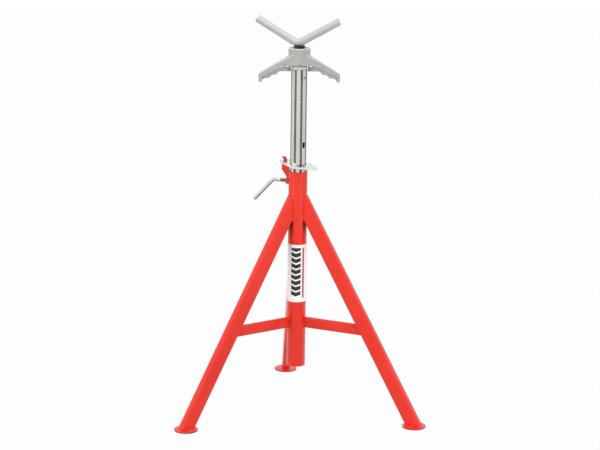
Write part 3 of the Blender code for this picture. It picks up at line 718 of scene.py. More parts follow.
corner_radius = NUT_FLATS / sqrt(3)
flat_radius = NUT_FLATS / 2
boss = turned("boss", [(corner_radius, 0), (corner_radius, NUT_HEIGHT)], 6)
cut(boss, turned("cone", [
    (corner_radius + NUT_CHAMFER, -NUT_CHAMFER),
    (corner_radius + NUT_CHAMFER, NUT_HEIGHT - NUT_CHAMFER / 2),
    (flat_radius - NUT_CHAMFER / 4, NUT_HEIGHT + NUT_CHAMFER / 2),
], 64), "INTERSECT")
cut(boss, turned("bore", [(NUT_BORE, -NUT_HEIGHT), (NUT_BORE, 2 * NUT_HEIGHT)], 48))
cut(boss, turned("countersink", [
    (NUT_BORE - NUT_CHAMFER, NUT_HEIGHT - 2 * NUT_CHAMFER),
    (NUT_BORE + 2 * NUT_CHAMFER, NUT_HEIGHT + NUT_CHAMFER),
], 48))
eased(boss, NUT_EASE, 2, 25)
placed(boss, around(COLUMN_RADIUS + GAP, LOCK_AZIMUTH, CLAMP_HEIGHT), (0, pi / 2, LOCK_AZIMUTH))
coated(boss, red_enamel)
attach(boss, "base")
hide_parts("clamp_nut")


# ---- Guide rivet ----
# Closes the hole near the column's foot. Its upset head has a ring where the punch sat, and its tip runs in a
# flute of the post, which keeps the post from turning.
GUIDE_HEAD_RADIUS = 0.0050
GUIDE_HEAD_HEIGHT = 0.0018
GUIDE_SHANK_RADIUS = 0.0021
GUIDE_TIP = 0.01955
GUIDE_DISH = 0.0006
GUIDE_EASE = 0.0002

head_start = COLUMN_RADIUS + GAP
head_top = head_start + GUIDE_HEAD_HEIGHT
rivet = turned("rivet", [
    (GUIDE_SHANK_RADIUS, GUIDE_TIP),
    (GUIDE_SHANK_RADIUS, head_start),
    (GUIDE_HEAD_RADIUS, head_start),
    (GUIDE_HEAD_RADIUS, head_top - GUIDE_DISH),
    (GUIDE_HEAD_RADIUS * 0.86, head_top),
    (GUIDE_HEAD_RADIUS * 0.66, head_top),
    (GUIDE_HEAD_RADIUS * 0.54, head_top - GUIDE_DISH),
    (GUIDE_HEAD_RADIUS * 0.36, head_top - GUIDE_DISH),
    (GUIDE_HEAD_RADIUS * 0.20, head_top - GUIDE_DISH / 4),
], 48)
eased(rivet, GUIDE_EASE, 2, 20)
pointed(rivet, GUIDE_AZIMUTH, GUIDE_HEIGHT)
coated(rivet, red_enamel, 60)
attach(rivet, "base")
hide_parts("guide_rivet")


# ---- Welds ----
# Fillet beads with the ripples of hand welding, under the same paint: round each leg at the column and on its
# foot, round both ends of each brace, down both sides of the bracket and round the clamp nut.
BEAD_RADIUS = 0.0011
SMALL_BEAD = BEAD_RADIUS * 0.8
BEAD_STEP = 0.0009
BEAD_END = 0.45
BEAD_LIFT = 0.0004
TOP_LIFT = 0.0012
SEAM_ROOM = 0.0002
SEAM_TOP_DROP = 0.002
SEAM_LOW_RISE = 0.009
SOLE_ROOM = 0.0006
BRACKET_SEAM_RISE = 0.001
NUT_SEAM_RADIUS = flat_radius * 1.04
RIPPLE_STEP = 0.0026
RIPPLE_SHARE = 0.13
RIPPLE_SHAKE = 0.04
BEAD_SHAKE = 0.00012
BEAD_RESOLUTION = 4
RING_STEPS = 48
# across the leg as a share of its half width, and how far above the seam's lowest point
SEAM_FOOT = (
    (0.98, 0.0055), (0.85, 0.0020), (0.6, 0.0002), (0.3, -0.0004), (0, -0.0006),
    (-0.3, -0.0004), (-0.6, 0.0002), (-0.85, 0.0020), (-0.98, 0.0055),
)

shaking = random.Random(7)


def along(points, closed):
    """The line of points again, at the bead's even steps."""
    line = [Vector(point) for point in points] + ([Vector(points[0])] if closed else [])
    spaced, left = [], 0.0
    for first, second in zip(line, line[1:]):
        length = (second - first).length
        while left < length:
            spaced.append(first.lerp(second, left / length))
            left += BEAD_STEP
        left -= length
    return spaced


def bead(points, radius, closed=True):
    """One bead along a line of points, as a curve whose thickness ripples."""
    line = along(points, closed)
    curve = bpy.data.curves.new("bead", "CURVE")
    curve.dimensions = "3D"
    curve.bevel_depth = radius
    curve.bevel_resolution = BEAD_RESOLUTION
    curve.use_fill_caps = not closed
    spline = curve.splines.new("POLY")
    spline.points.add(len(line) - 1)
    spline.use_cyclic_u = closed
    for index, (point, place) in enumerate(zip(spline.points, line)):
        wave = index * BEAD_STEP / RIPPLE_STEP % 1
        shake = Vector([shaking.uniform(-BEAD_SHAKE, BEAD_SHAKE) for _ in range(3)])
        point.co = (*(place + shake), 1)
        point.radius = 1 - RIPPLE_SHARE * wave + shaking.uniform(-RIPPLE_SHAKE, RIPPLE_SHAKE)
    if not closed:
        spline.points[0].radius = spline.points[-1].radius = BEAD_END
    piece = linked("bead", curve)
    picked(piece)
    bpy.ops.object.convert(target="MESH")
    into("EDIT")
    return closed_up(piece)


def joined(name, pieces):
    picked(pieces[0])
    for piece in pieces:
        piece.select_set(True)
    bpy.ops.object.join()
    whole = bpy.context.object
    whole.name = whole.data.name = name
    return whole


def on_column(side_way, height, lift=BEAD_LIFT):
    """A point on the column's outside at a distance to the side of the leg's plane."""
    return (sqrt((COLUMN_RADIUS + lift)**2 - side_way**2), side_way, height)


def rounded_box(length, width, corner):
    """A rounded rectangle about the origin."""
    points = []
    for quarter, (x, y) in enumerate([(1, 1), (-1, 1), (-1, -1), (1, -1)]):
        centre = (x * (length / 2 - corner), y * (width / 2 - corner))
        points += arc(centre, corner, quarter * pi / 2, (quarter + 1) * pi / 2, 4)
    return points


side_in = LEG_WIDTH / 2 + SEAM_ROOM
under_side = LEG_DEPTH / 2 / sin(LEG_SLOPE)
seam_low = FOOT_THICKNESS + (FOOT_CIRCLE_RADIUS - under_side - COLUMN_RADIUS) * tan(LEG_SLOPE)
leg_seam = [on_column(side_in * share, LEG_TOP, TOP_LIFT) for share in (-0.9, -0.5, 0, 0.5, 0.9)]
seam_ends = (LEG_TOP - SEAM_TOP_DROP, seam_low + SEAM_LOW_RISE)
leg_seam += [on_column(side_in, height) for height in seam_ends]
leg_seam += [on_column(side_in * share, seam_low + rise) for share, rise in SEAM_FOOT]
leg_seam += [on_column(-side_in, height) for height in seam_ends[::-1]]
sole = leg_line(LEG_FOOT)
sole_size = (LEG_DEPTH / sin(LEG_SLOPE) + SOLE_ROOM, LEG_WIDTH + SOLE_ROOM, LEG_CORNER)
foot_seam = [(sole + x, y, LEG_FOOT + SEAM_ROOM) for x, y in rounded_box(*sole_size)]
half = BRACE_THICKNESS / 2
brace_corners = ((half, BRACE_TOP), (half, BRACE_BOTTOM), (-half, BRACE_BOTTOM), (-half, BRACE_TOP))
brace_seam = [on_column(y, z) for y, z in brace_corners]
brace_leg_seam = [(leg_line(z) - inner_face, y, z) for y, z in brace_corners]
beads = []
for azimuth in LEG_AZIMUTHS.values():
    beads += [on_axis(bead(seam, BEAD_RADIUS), azimuth) for seam in (leg_seam, foot_seam)]
    beads += [on_axis(bead(seam, SMALL_BEAD), azimuth) for seam in (brace_seam, brace_leg_seam)]
bracket_ends = (BRACKET_TOE[1] + BRACKET_SEAM_RISE, COLUMN_TOP - SEAM_TOP_DROP)
for side_way in (-BRACKET_THICKNESS / 2, BRACKET_THICKNESS / 2):
    seam = [on_column(side_way, height) for height in bracket_ends]
    beads.append(on_axis(bead(seam, SMALL_BEAD, False), LOCK_AZIMUTH))
nut_seam = []
for step in range(RING_STEPS):
    out, rise = polar(NUT_SEAM_RADIUS, tau * step / RING_STEPS)
    x = (COLUMN_RADIUS + sqrt(COLUMN_RADIUS**2 - out**2)) / 2 + GAP
    nut_seam.append((x, out, CLAMP_HEIGHT + rise))
beads.append(on_axis(bead(nut_seam, SMALL_BEAD), LOCK_AZIMUTH))
welds = joined("weld_beads", beads)
coated(welds, red_enamel, 60)
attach(welds, "base")


# ---- Label ----
# A white vinyl wrap with a gloss face, stuck round the column with its overlap at the back. It is printed
# with plain bars and a thin line only.
LABEL_BOTTOM = 0.2942
LABEL_TOP = 0.4466
LABEL_IN = 0.02425
LABEL_OUT = 0.02445
PRINT_LOW = 0.3050
PRINT_HIGH = 0.4386
BAR_LOW = 0.3085
BAR_PITCH = 0.0148
BAR_SLANT = -0.62
BAR_GAP = 0.30
BAR_FROM = radians(-131)
BAR_TO = radians(-70.5)
LINE_FROM = radians(-60)
LINE_TO = radians(-47)
INK = (0.018, 0.019, 0.020)
LINE_RED = (0.42, 0.045, 0.060)
VINYL = (0.985, 0.985, 0.98)
VINYL_SOILED = (0.94, 0.935, 0.925)


def make_label_vinyl():
    """White vinyl, a little soiled and wrinkled, printed with chevrons and a line down their right."""
    finish, place = patterned("label_vinyl")
    x, y, z = split(place)
    azimuth = y.maths("ARCTAN2", y - AXIS_Y, x)
    across = (azimuth - BAR_FROM) / (BAR_TO - BAR_FROM)
    within = (across > 0) * (across < 1) * (z > BAR_LOW) * (z < PRINT_HIGH)
    off_middle = across - 0.5
    phase = (z - PRINT_LOW) / BAR_PITCH + off_middle.maths("ABSOLUTE", off_middle) * BAR_SLANT
    bars = within * (phase.maths("FRACT", phase) > BAR_GAP)
    line = (azimuth > LINE_FROM) * (azimuth < LINE_TO) * (z > PRINT_LOW) * (z < PRINT_HIGH)
    tone = ramp(noise(place, 40.0, 3.0), 0.3, 0.7)
    colour = layered(VINYL, (tone * 0.5, VINYL_SOILED), (bars, INK), (line, LINE_RED))
    wrinkle = bumped(noise(place, 55.0, 2.0), 0.0006, 0.25)
    grain = bumped(noise(place, 900.0, 1.0), 0.00008, 0.3, wrinkle)
    return surfaced(finish, colour, 0.30 + tone * 0.08 - bars * 0.05, grain, IOR=1.46)


label = turned("label", [
    (LABEL_IN, LABEL_BOTTOM),
    (LABEL_OUT, LABEL_BOTTOM),
    (LABEL_OUT, LABEL_TOP),
    (LABEL_IN, LABEL_TOP),
    (LABEL_IN, LABEL_BOTTOM),
], 160)
on_axis(label)
coated(label, make_label_vinyl())
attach(label, "base")
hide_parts("label_wrap")


# ---- Sliding post ----
# Zinc-plated tube drawn with eight flutes, which keep oil and dust and are darkened with painted shade too. A
# slot is punched through one lobe, a crimp closes one flute for a few millimetres, and the key's hole is near
# the top.
# Where the lock plate grips, the post has a painted shadow on one side and a painted highlight by a tooth.
POST_RADIUS = 0.02055
POST_WALL = 0.0021
POST_BOTTOM = 0.2937
POST_TOP = 0.9007
POST_EASE = 0.0003
FLUTES = 8
FLUTE_DEPTH = 0.0022
FLUTE_WIDTH = 0.0064
FLUTE_AZIMUTH = radians(-75.5)
FLUTE_TURN = tau / FLUTES
GROOVE_STEPS = 10
LOBE_STEPS = 10
CRIMP_MIDDLE = 0.819
CRIMP_HALF = 0.0032
CRIMP_FLOOR = 0.0196
SLOT_MIDDLE = 0.7068
SLOT_LENGTH = 0.0155
SLOT_WIDTH = 0.0078
KEY_AZIMUTH = FLUTE_AZIMUTH + pi / FLUTES
KEY_HEIGHT = 0.8807
KEY_RADIUS = 0.0025
# GRIP_LOW to GRIP_SIDES bound the painted shadow on the post just above the lock plate
GRIP_LOW = 0.6520
GRIP_HIGH = 0.6568
GRIP_DEPTHS = (-0.016, -0.010)
GRIP_SIDES = (-0.007, -0.002)
# where the painted highlight by a tooth sits
GLINT_AZIMUTH = radians(-123)
GLINT_TOP = (GRIP_LOW + 0.007, GRIP_LOW + 0.009)
GROOVE_EDGE = (POST_RADIUS - 0.0006, POST_RADIUS - 0.00003)
OVERCUT = 0.01
ZINC = (0.60, 0.60, 0.565)
ZINC_DULL = (0.54, 0.53, 0.495)
ZINC_SPANGLE = (0.78, 0.78, 0.74)
# grime and painted shade in the grooves, and painted shadow above the lock plate
GRIME_AND_SHADE = (0.075, 0.063, 0.048)
# painted highlight by a tooth
GLINT_WHITE = (1.0, 1.0, 0.99)


def post_section(inset, crimp=0.0):
    """The post's outline, moved inwards: round lobes with a narrow groove between each pair."""
    half_groove = FLUTE_WIDTH / 2 / POST_RADIUS
    half_lobe = pi / FLUTES - half_groove
    points = []
    for flute in range(FLUTES):
        middle = FLUTE_AZIMUTH + flute * FLUTE_TURN
        for step in range(GROOVE_STEPS + 1):
            share = 2 * step / GROOVE_STEPS - 1
            radius = POST_RADIUS - inset - FLUTE_DEPTH * (1 - share**4)
            if flute == 0 and crimp:
                filled = radius + (CRIMP_FLOOR - POST_RADIUS + FLUTE_DEPTH) * crimp
                radius = max(radius, min(POST_RADIUS, filled))
            points.append(polar(radius, middle + share * half_groove))
        for step in range(1, LOBE_STEPS):
            turn = half_groove + 2 * half_lobe * step / LOBE_STEPS
            points.append(polar(POST_RADIUS - inset, middle + turn))
    return points


def make_post_zinc():
    """Drawn and zinc-plated: fine lines along the tube, soft spangle, grime and painted shade in the grooves, a
    painted shadow just above the lock plate and a painted highlight by one tooth.
    """
    finish, place = patterned("post_zinc_plate")
    height = split(place)[2]
    flat, from_axis = off_axis(place)
    x, y, _ = split(flat)
    lines = noise(place.vector("MULTIPLY", (1, 1, 0.03)), 900.0, 3.0, 0.6)
    streaks = ramp(noise(place.vector("MULTIPLY", (1, 1, 0.08)), 90.0, 4.0, 0.6), 0.35, 0.68)
    cells = place.node("TexVoronoi", inputs={"Vector": place, "Scale": 260.0}, output="Color")
    spangle = ramp(cells, 0.0, 1.0)
    patch = ramp(noise(place, 24.0, 5.0, 0.65), 0.45, 0.75)
    # Grime and painted shade in the grooves.
    groove_grime_and_shade = fall(from_axis, *GROOVE_EDGE) * (0.82 + patch * 0.18)
    # A painted shadow on one side of the post, just above the lock plate.
    plate_gap_shadow = ramp(height, GRIP_LOW, GRIP_LOW + 0.0008) * fall(height, GRIP_HIGH - 0.0012, GRIP_HIGH)
    plate_gap_shadow = plate_gap_shadow * fall(y, *GRIP_DEPTHS) * ramp(x, *GRIP_SIDES)
    # A painted highlight on the post beside one tooth of the lock plate.
    tooth_glint = ramp(towards(flat, GLINT_AZIMUTH), 0.982, 0.990) * ramp(height, GRIP_LOW, GRIP_LOW + 0.001)
    tooth_glint = tooth_glint * fall(height, *GLINT_TOP)
    colour = layered(
        ZINC, (streaks, ZINC_DULL), (spangle * 0.12, ZINC_SPANGLE), (groove_grime_and_shade, GRIME_AND_SHADE), (plate_gap_shadow * 0.85, GRIME_AND_SHADE),
        (tooth_glint * ramp(lines, 0.35, 0.50), GLINT_WHITE),
    )
    roughness = 0.33 + streaks * 0.10 + groove_grime_and_shade * 0.30 + spangle * 0.05
    fine = bumped(lines, 0.00012, 0.35)
    wavy = bumped(noise(place, 45.0, 2.0), 0.0008, 0.10, fine)
    return surfaced(finish, colour, roughness, wavy, Metallic=0.3 - groove_grime_and_shade * 0.25)


def drawn(name, rows):
    """A drawn bar: a ring, extruded from row to row of (outline, height) and fitted to each outline."""
    outline, height = rows[0]
    piece = outlined(name, [(x, y, height) for x, y in outline])
    for _, next_height in rows[1:]:
        extruded((0, 0, next_height - height))
        height = next_height
    into("OBJECT")
    vertices = piece.data.vertices
    by_height = sorted(range(len(vertices)), key=lambda i: (round(vertices[i].co.z, 6), i))
    for level_index, (row, _) in enumerate(rows):
        members = by_height[level_index * len(outline):(level_index + 1) * len(outline)]
        for index, (x, y) in zip(members, row):
            vertices[index].co.x = x
            vertices[index].co.y = y
    into("EDIT")
    return closed_up(piece)


post_zinc = make_post_zinc()
outside = [(post_section(0), POST_BOTTOM)]
for shift, crimp in ((-1.6, 0), (-1, 0.5), (-0.6, 1), (0.6, 1), (1, 0.5), (1.6, 0)):
    outside.append((post_section(0, crimp), CRIMP_MIDDLE + shift * CRIMP_HALF))
outside.append((post_section(0), POST_TOP))
post = drawn("post", outside)
inside = post_section(POST_WALL)
cut(post, drawn("post_bore", [(inside, POST_BOTTOM - OVERCUT), (inside, POST_TOP + OVERCUT)]))
slot_tool = tube_length("slot_tool", SLOT_LENGTH, SLOT_WIDTH, SLOT_WIDTH / 2 - GAP, POST_RADIUS)
cut(post, placed(slot_tool, (*polar(POST_RADIUS, KEY_AZIMUTH), SLOT_MIDDLE), (0, pi / 2, KEY_AZIMUTH)))
on_axis(post)
drilled(post, KEY_RADIUS + GAP, KEY_AZIMUTH, KEY_HEIGHT)
eased(post, POST_EASE, 2, 60)
coated(post, post_zinc, 50)
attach(post, "post")
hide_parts("inner_post")


# ---- Post cap ----
# A turned collar on the tube's end, its spigot pressed into the bore. The key's hole goes through both, and
# it is plated as the post is.
CAP_BOTTOM = POST_TOP + GAP
CAP_TOP = 0.9087
CAP_EASE = 0.0006
SPIGOT_RADIUS = 0.01585
SPIGOT_BOTTOM = 0.8707
SCREW_BORE = 0.0147

cap = turned("cap", [
    (SCREW_BORE, SPIGOT_BOTTOM),
    (SPIGOT_RADIUS, SPIGOT_BOTTOM),
    (SPIGOT_RADIUS, CAP_BOTTOM),
    (POST_RADIUS, CAP_BOTTOM),
    (POST_RADIUS, CAP_TOP),
    (SCREW_BORE, CAP_TOP),
    (SCREW_BORE, SPIGOT_BOTTOM),
])
eased(cap, CAP_EASE)
on_axis(cap)
drilled(cap, KEY_RADIUS + GAP, KEY_AZIMUTH, KEY_HEIGHT)
coated(cap, post_zinc)
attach(cap, "post")
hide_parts("post_cap")


# ---- Key pin ----
# A brass-coloured pin driven through the post and cap, its outer end domed and tarnished. Its inner end
# slides in the screw's keyway.
KEY_TIP = 0.0116
KEY_DOME = 0.0007
KEY_CROWN = 0.00015
BRASS = (0.42, 0.33, 0.22)
BRASS_DARK = (0.20, 0.11, 0.06)


def make_brass():
    """Dull brass: brown tarnish in fine patches, and scratches."""
    finish, place = patterned("dull_brass")
    tarnish = ramp(noise(place, 700.0, 4.0, 0.6), 0.35, 0.65)
    scratches = bumped(noise(place, 2500.0, 2.0), 0.00005, 0.4)
    colour = layered(BRASS, (tarnish, BRASS_DARK))
    return surfaced(finish, colour, 0.34 + tarnish * 0.25, scratches, Metallic=1.0)


brass = make_brass()
key = turned("key", [
    (KEY_RADIUS * 0.7, KEY_TIP),
    (KEY_RADIUS, KEY_TIP + KEY_RADIUS * 0.3),
    (KEY_RADIUS, POST_RADIUS - KEY_DOME),
    (KEY_RADIUS * 0.75, POST_RADIUS - KEY_CROWN),
    (KEY_RADIUS * 0.35, POST_RADIUS),
], 40)
pointed(key, KEY_AZIMUTH, KEY_HEIGHT)
coated(key, brass, 60)
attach(key, "post")
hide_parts("key_pin")


# ---- Thrust washer ----
# A hard flat washer on which the handle nut turns. Its zinc plating is dark with oil, where the plating of
# the stand's open parts is bright.
WASHER_BOTTOM = 0.9090
WASHER_TOP = 0.9105
WASHER_EASE = 0.0003
PLATE_BRIGHT = (0.80, 0.81, 0.81)
PLATE_SHADE = (0.68, 0.69, 0.70)
# painted highlight
PLATE_HIGHLIGHT = (0.97, 0.97, 0.97)
DARK_CLEAN = (0.34, 0.35, 0.35)
DARK_OILY = (0.20, 0.20, 0.195)


def make_bright_zinc(name, clean, dull, metallic, rubbed=0.0, under=None):
    """Plating over sheared or rolled steel: faint rolling marks and clouds. It can have a painted highlight
    inside a radius, and painted shade underneath."""
    finish, place = patterned(name)
    cloud = ramp(noise(place, 120.0, 4.0, 0.6), 0.35, 0.65)
    layers = [(cloud, dull)]
    # A painted highlight inside the given radius.
    if rubbed:
        layers.append((fall(off_axis(place)[1], rubbed, rubbed + 0.002), PLATE_HIGHLIGHT))
    # Painted shade on the faces that look down.
    if under:
        layers.append((fall(upward(place), -0.50, 0.0, 0.9), under))
    rolling = bumped(noise(place.vector("MULTIPLY", (0.05, 1, 1)), 420.0, 2.0, 0.5), 0.00004, 0.15)
    waves = bumped(noise(place, 130.0, 2.0), 0.0003, 0.10, rolling)
    return surfaced(finish, layered(clean, *layers), 0.24 + cloud * 0.10, waves, Metallic=metallic)


bright_zinc = make_bright_zinc("bright_zinc_plate", PLATE_BRIGHT, PLATE_SHADE, 0.45)
dark_zinc = make_bright_zinc("oily_zinc_plate", DARK_CLEAN, DARK_OILY, 0.5)
washer = turned("washer", sleeve(POST_RADIUS, SCREW_BORE, WASHER_BOTTOM, WASHER_TOP))
eased(washer, WASHER_EASE)
on_axis(washer)
coated(washer, dark_zinc)
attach(washer, "post")
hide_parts("thrust_washer")


# ---- Jack screw ----
# A bar with a rolled right-hand thread, blackened and oiled. A keyway is milled up one side from its foot,
# and a tapped hole in the foot takes the stop bolt.
SCREW_RADIUS = 0.0143
SCREW_ROOT = 0.0121
SCREW_TOP = 0.96025
SCREW_BOTTOM = 0.7707
THREAD_PITCH = 0.00508
THREAD_SIDES = 72
CREST_ROUND = 0.0002
CREST_RUB = (SCREW_RADIUS - 0.0006, SCREW_RADIUS - 0.0001)
KEYWAY_WIDTH = 0.0062
KEYWAY_DEPTH = 0.0032
KEYWAY_TOP = 0.9108
CUTTER_OUT = 0.004
CUTTER_DOWN = 0.005
TAP_RADIUS = 0.0043
TAP_DEPTH = 0.020
BLACK_OXIDE = (0.030, 0.029, 0.028)
THREAD_WORN = (0.16, 0.155, 0.15)


def make_screw_steel():
    """Black oxide with an oily sheen, rubbed towards bare steel on the crests."""
    finish, place = patterned("screw_black_steel")
    crest = ramp(off_axis(place)[1], *CREST_RUB)
    patches = ramp(noise(place, 160.0, 4.0, 0.6), 0.35, 0.7)
    colour = layered(BLACK_OXIDE, (crest * patches, THREAD_WORN))
    grain = bumped(noise(place, 1600.0, 2.0), 0.00006, 0.5)
    return surfaced(finish, colour, 0.42 - crest * 0.1 + patches * 0.08, grain, Metallic=0.9)


def threaded(name, profile, pitch, bottom, top, sides, spare=3):
    """A thread from one pitch of its profile of (radius, height): a chain of points, screwed round past both
    ends by some spare turns, merged, sliced off there and closed."""
    start = bottom - 1.5 * pitch
    piece = outlined(name, [(radius, 0, start + height) for radius, height in profile])
    last = len(profile) - 1
    select_only(piece, "edges", lambda edge: {vert.index for vert in edge.verts} == {0, last})
    bpy.ops.mesh.delete(type="EDGE")
    into("OBJECT")
    applied(
        piece, "SCREW", axis="Z", screw_offset=pitch, iterations=ceil((top - bottom) / pitch) + spare,
        steps=sides, render_steps=sides, use_merge_vertices=False,
    )
    into("EDIT")
    bpy.ops.mesh.select_all(action="SELECT")
    bpy.ops.mesh.remove_doubles(threshold=MERGE)
    sliced((0, 0, top), (0, 0, 1))
    sliced((0, 0, bottom), (0, 0, -1))
    return closed_up(piece)


screw_steel = make_screw_steel()
screw = threaded("screw", [
    (SCREW_ROOT, 0),
    (SCREW_ROOT, THREAD_PITCH * 0.34),
    (SCREW_RADIUS - CREST_ROUND, THREAD_PITCH * 0.47),
    (SCREW_RADIUS, THREAD_PITCH * 0.52),
    (SCREW_RADIUS, THREAD_PITCH * 0.82),
    (SCREW_RADIUS - CREST_ROUND, THREAD_PITCH * 0.87),
    (SCREW_ROOT, THREAD_PITCH),
], THREAD_PITCH, SCREW_BOTTOM, SCREW_TOP, THREAD_SIDES)
keyway = box(
    "keyway", (KEYWAY_DEPTH + 2 * CUTTER_OUT, KEYWAY_WIDTH, KEYWAY_TOP - SCREW_BOTTOM + 2 * CUTTER_DOWN),
    (SCREW_RADIUS - KEYWAY_DEPTH / 2 + CUTTER_OUT, 0, (KEYWAY_TOP + SCREW_BOTTOM) / 2 - CUTTER_DOWN),
)
into("OBJECT")
cut(screw, placed(keyway, (0, 0, 0), (0, 0, KEY_AZIMUTH)))
tap = turned("tap", [(TAP_RADIUS, SCREW_BOTTOM - TAP_DEPTH), (TAP_RADIUS, SCREW_BOTTOM + TAP_DEPTH)], 32)
cut(screw, tap)
on_axis(screw)
coated(screw, screw_steel, 40)
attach(screw, "screw")
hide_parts("jack_screw")


# ---- Stop washer and bolt ----
# On the screw's foot inside the post: a thick washer, wider than the cap's bore, and the hexagon bolt that
# holds it, both plated.
STOP_RADIUS = 0.0154
STOP_TOP = SCREW_BOTTOM - GAP
STOP_BOTTOM = STOP_TOP - 0.004
STOP_EASE = 0.0004
BOLT_RADIUS = 0.004
BOLT_TOP = STOP_BOTTOM - GAP
BOLT_HEAD = 0.0053
BOLT_FLATS = 0.013
BOLT_LENGTH = 0.023
BOLT_CHAMFER = 0.0008
BOLT_OVERLAP = 0.001
CONE_ROOM = 0.0004
CONE_RISE = 0.0009
CONE_DROP = 0.0002

stop = turned("stop", sleeve(STOP_RADIUS, BOLT_RADIUS + GAP, STOP_BOTTOM, STOP_TOP), 64)
eased(stop, STOP_EASE)
on_axis(stop)
coated(stop, bright_zinc)
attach(stop, "screw")
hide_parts("stop_washer")

bolt_corner = BOLT_FLATS / sqrt(3)
bolt = turned("bolt", [(bolt_corner, BOLT_TOP - BOLT_HEAD), (bolt_corner, BOLT_TOP)], 6)
cut(bolt, turned("bolt_cone", [
    (BOLT_FLATS / 2 - CONE_DROP, BOLT_TOP - BOLT_HEAD - CONE_DROP),
    (bolt_corner + CONE_ROOM, BOLT_TOP - BOLT_HEAD + CONE_RISE),
    (bolt_corner + CONE_ROOM, BOLT_TOP + BOLT_OVERLAP),
], 48), "INTERSECT")
cut(bolt, turned("shank", [
    (BOLT_RADIUS, BOLT_TOP - BOLT_OVERLAP),
    (BOLT_RADIUS, BOLT_TOP + BOLT_LENGTH),
    (BOLT_RADIUS - BOLT_CHAMFER, BOLT_TOP + BOLT_LENGTH + BOLT_CHAMFER),
], 32), "UNION")
on_axis(bolt)
coated(bolt, bright_zinc)
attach(bolt, "screw")
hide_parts("stop_bolt")


# ---- Handle nut ----
# A sand casting: a threaded hub with two drooping wings, each a thick arm with a broad root, a rounded tip
# that turns under, and a small heel at the hub. Its solid is taken from the frame, these are joined to it,
# and the corners are filleted as a pattern's are.
CAST_VOXEL = 0.00085
CAST_SOFTENING = 5
MOUTH_RADIUS = 0.0155
WING_YAW = radians(-3.5)
WING_WIDTH = 0.019
# outlines of (distance from the axis, height)
ROOT = (
    (0.004, 0.9375), (0.0196, 0.9385), (0.060, 0.9142), (0.060, 0.8980), (0.031, 0.9110), (0.004, 0.9118),
)
HEEL = (
    (0.0222, 0.8985), (0.0340, 0.8985), (0.0340, 0.9060), (0.0300, 0.9050), (0.0264, 0.9046),
    (0.0246, 0.9115), (0.0222, 0.9115),
)
ROOT_START = 0.014
ROOT_HALF_WIDTH = 0.0240
ROOT_NARROWING = 0.304
HEEL_WIDTH = 0.008
TIP_ROUND = 0.0047
TIP_REACH = 0.0985
TIP_BOTTOM = 0.8676
CASTING = (0.432, 0.442, 0.424)
CASTING_DARK = (0.348, 0.357, 0.339)
CASTING_PALE = (0.50, 0.51, 0.48)
# painted light on the faces that look up
CASTING_LIT_TOP = (0.68, 0.69, 0.66)
CASTING_PIT = (0.20, 0.205, 0.19)
# painted shade round the mouth of the hub's bore
MOUTH_SHADE = (0.03, 0.027, 0.022)
# painted shade where the wings meet the hub underneath
CREASE_SHADE = (0.10, 0.10, 0.09)
CREASE_TOP = 0.9110
CREASE_REACH = 0.034


def make_cast_grey():
    """Tumbled cast iron, thinly plated: sandy grain and pits, painted light on the faces that look up, and
    painted shade in the mouth and where the wings meet the hub underneath."""
    finish, place = patterned("cast_grey_iron")
    from_axis = off_axis(place)[1]
    mottled = ramp(noise(place, 170.0, 5.0, 0.65), 0.32, 0.68)
    broad = ramp(noise(place, 28.0, 3.0, 0.5), 0.35, 0.65)
    pits = ramp(noise(place, 620.0, 3.0, 0.6), 0.66, 0.74)
    # crease: painted shade under the wings at the hub
    crease = fall(split(place)[2], CREASE_TOP - 0.0035, CREASE_TOP)
    crease = crease * fall(from_axis, POST_RADIUS, CREASE_REACH, 0.75)
    # Painted light on top, painted shade in the mouth and in the crease under the wings.
    colour = layered(
        CASTING, (mottled * 0.4, CASTING_DARK), (broad * 0.25, CASTING_PALE),
        (ramp(upward(place), 0.35, 0.75), CASTING_LIT_TOP), (pits * 0.35, CASTING_PIT),
        (fall(from_axis, MOUTH_RADIUS, MOUTH_RADIUS + 0.0015, 0.9), MOUTH_SHADE), (crease, CREASE_SHADE),
    )
    sand = bumped(noise(place, 700.0, 4.0, 0.65), 0.00030, 0.30)
    lumps = bumped(noise(place, 150.0, 3.0), 0.0008, 0.15, sand)
    return surfaced(finish, colour, 0.52 + mottled * 0.12 + pits * 0.1, lumps, Metallic=0.3)


nut = copied(frame["nodes"]["handle_nut"], "nut")
nut.data.name = "nut"
nut.parent = None
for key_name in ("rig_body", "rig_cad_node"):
    del nut[key_name]
picked(nut)
into("EDIT")
bpy.ops.mesh.select_all(action="SELECT")
bpy.ops.mesh.remove_doubles(threshold=MERGE)
sliced((0, 0, TIP_BOTTOM + TIP_ROUND / 2), (0, 0, -1))
into("OBJECT")
for end, turn in (("left", pi), ("right", 0)):
    root = flame_cut("root_" + end, ROOT, 2)
    for vertex in root.data.vertices:
        vertex.co.z *= ROOT_HALF_WIDTH - (vertex.co.x - ROOT_START) * ROOT_NARROWING
    tip_circle = arc((TIP_REACH, TIP_BOTTOM + TIP_ROUND), TIP_ROUND, 0, tau, 32)[:-1]
    wing_pieces = [
        root,
        flame_cut("tip_" + end, tip_circle, WING_WIDTH),
        flame_cut("heel_" + end, HEEL, HEEL_WIDTH),
    ]
    for piece in wing_pieces:
        placed(piece, AXIS, (pi / 2, 0, WING_YAW + turn))
    nut = joined("nut", [nut, *wing_pieces])
applied(nut, "REMESH", mode="VOXEL", voxel_size=CAST_VOXEL, use_smooth_shade=True)
applied(nut, "SMOOTH", factor=0.5, iterations=CAST_SOFTENING)
coated(nut, make_cast_grey(), 180)
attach(nut, "nut")
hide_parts("handle_nut")


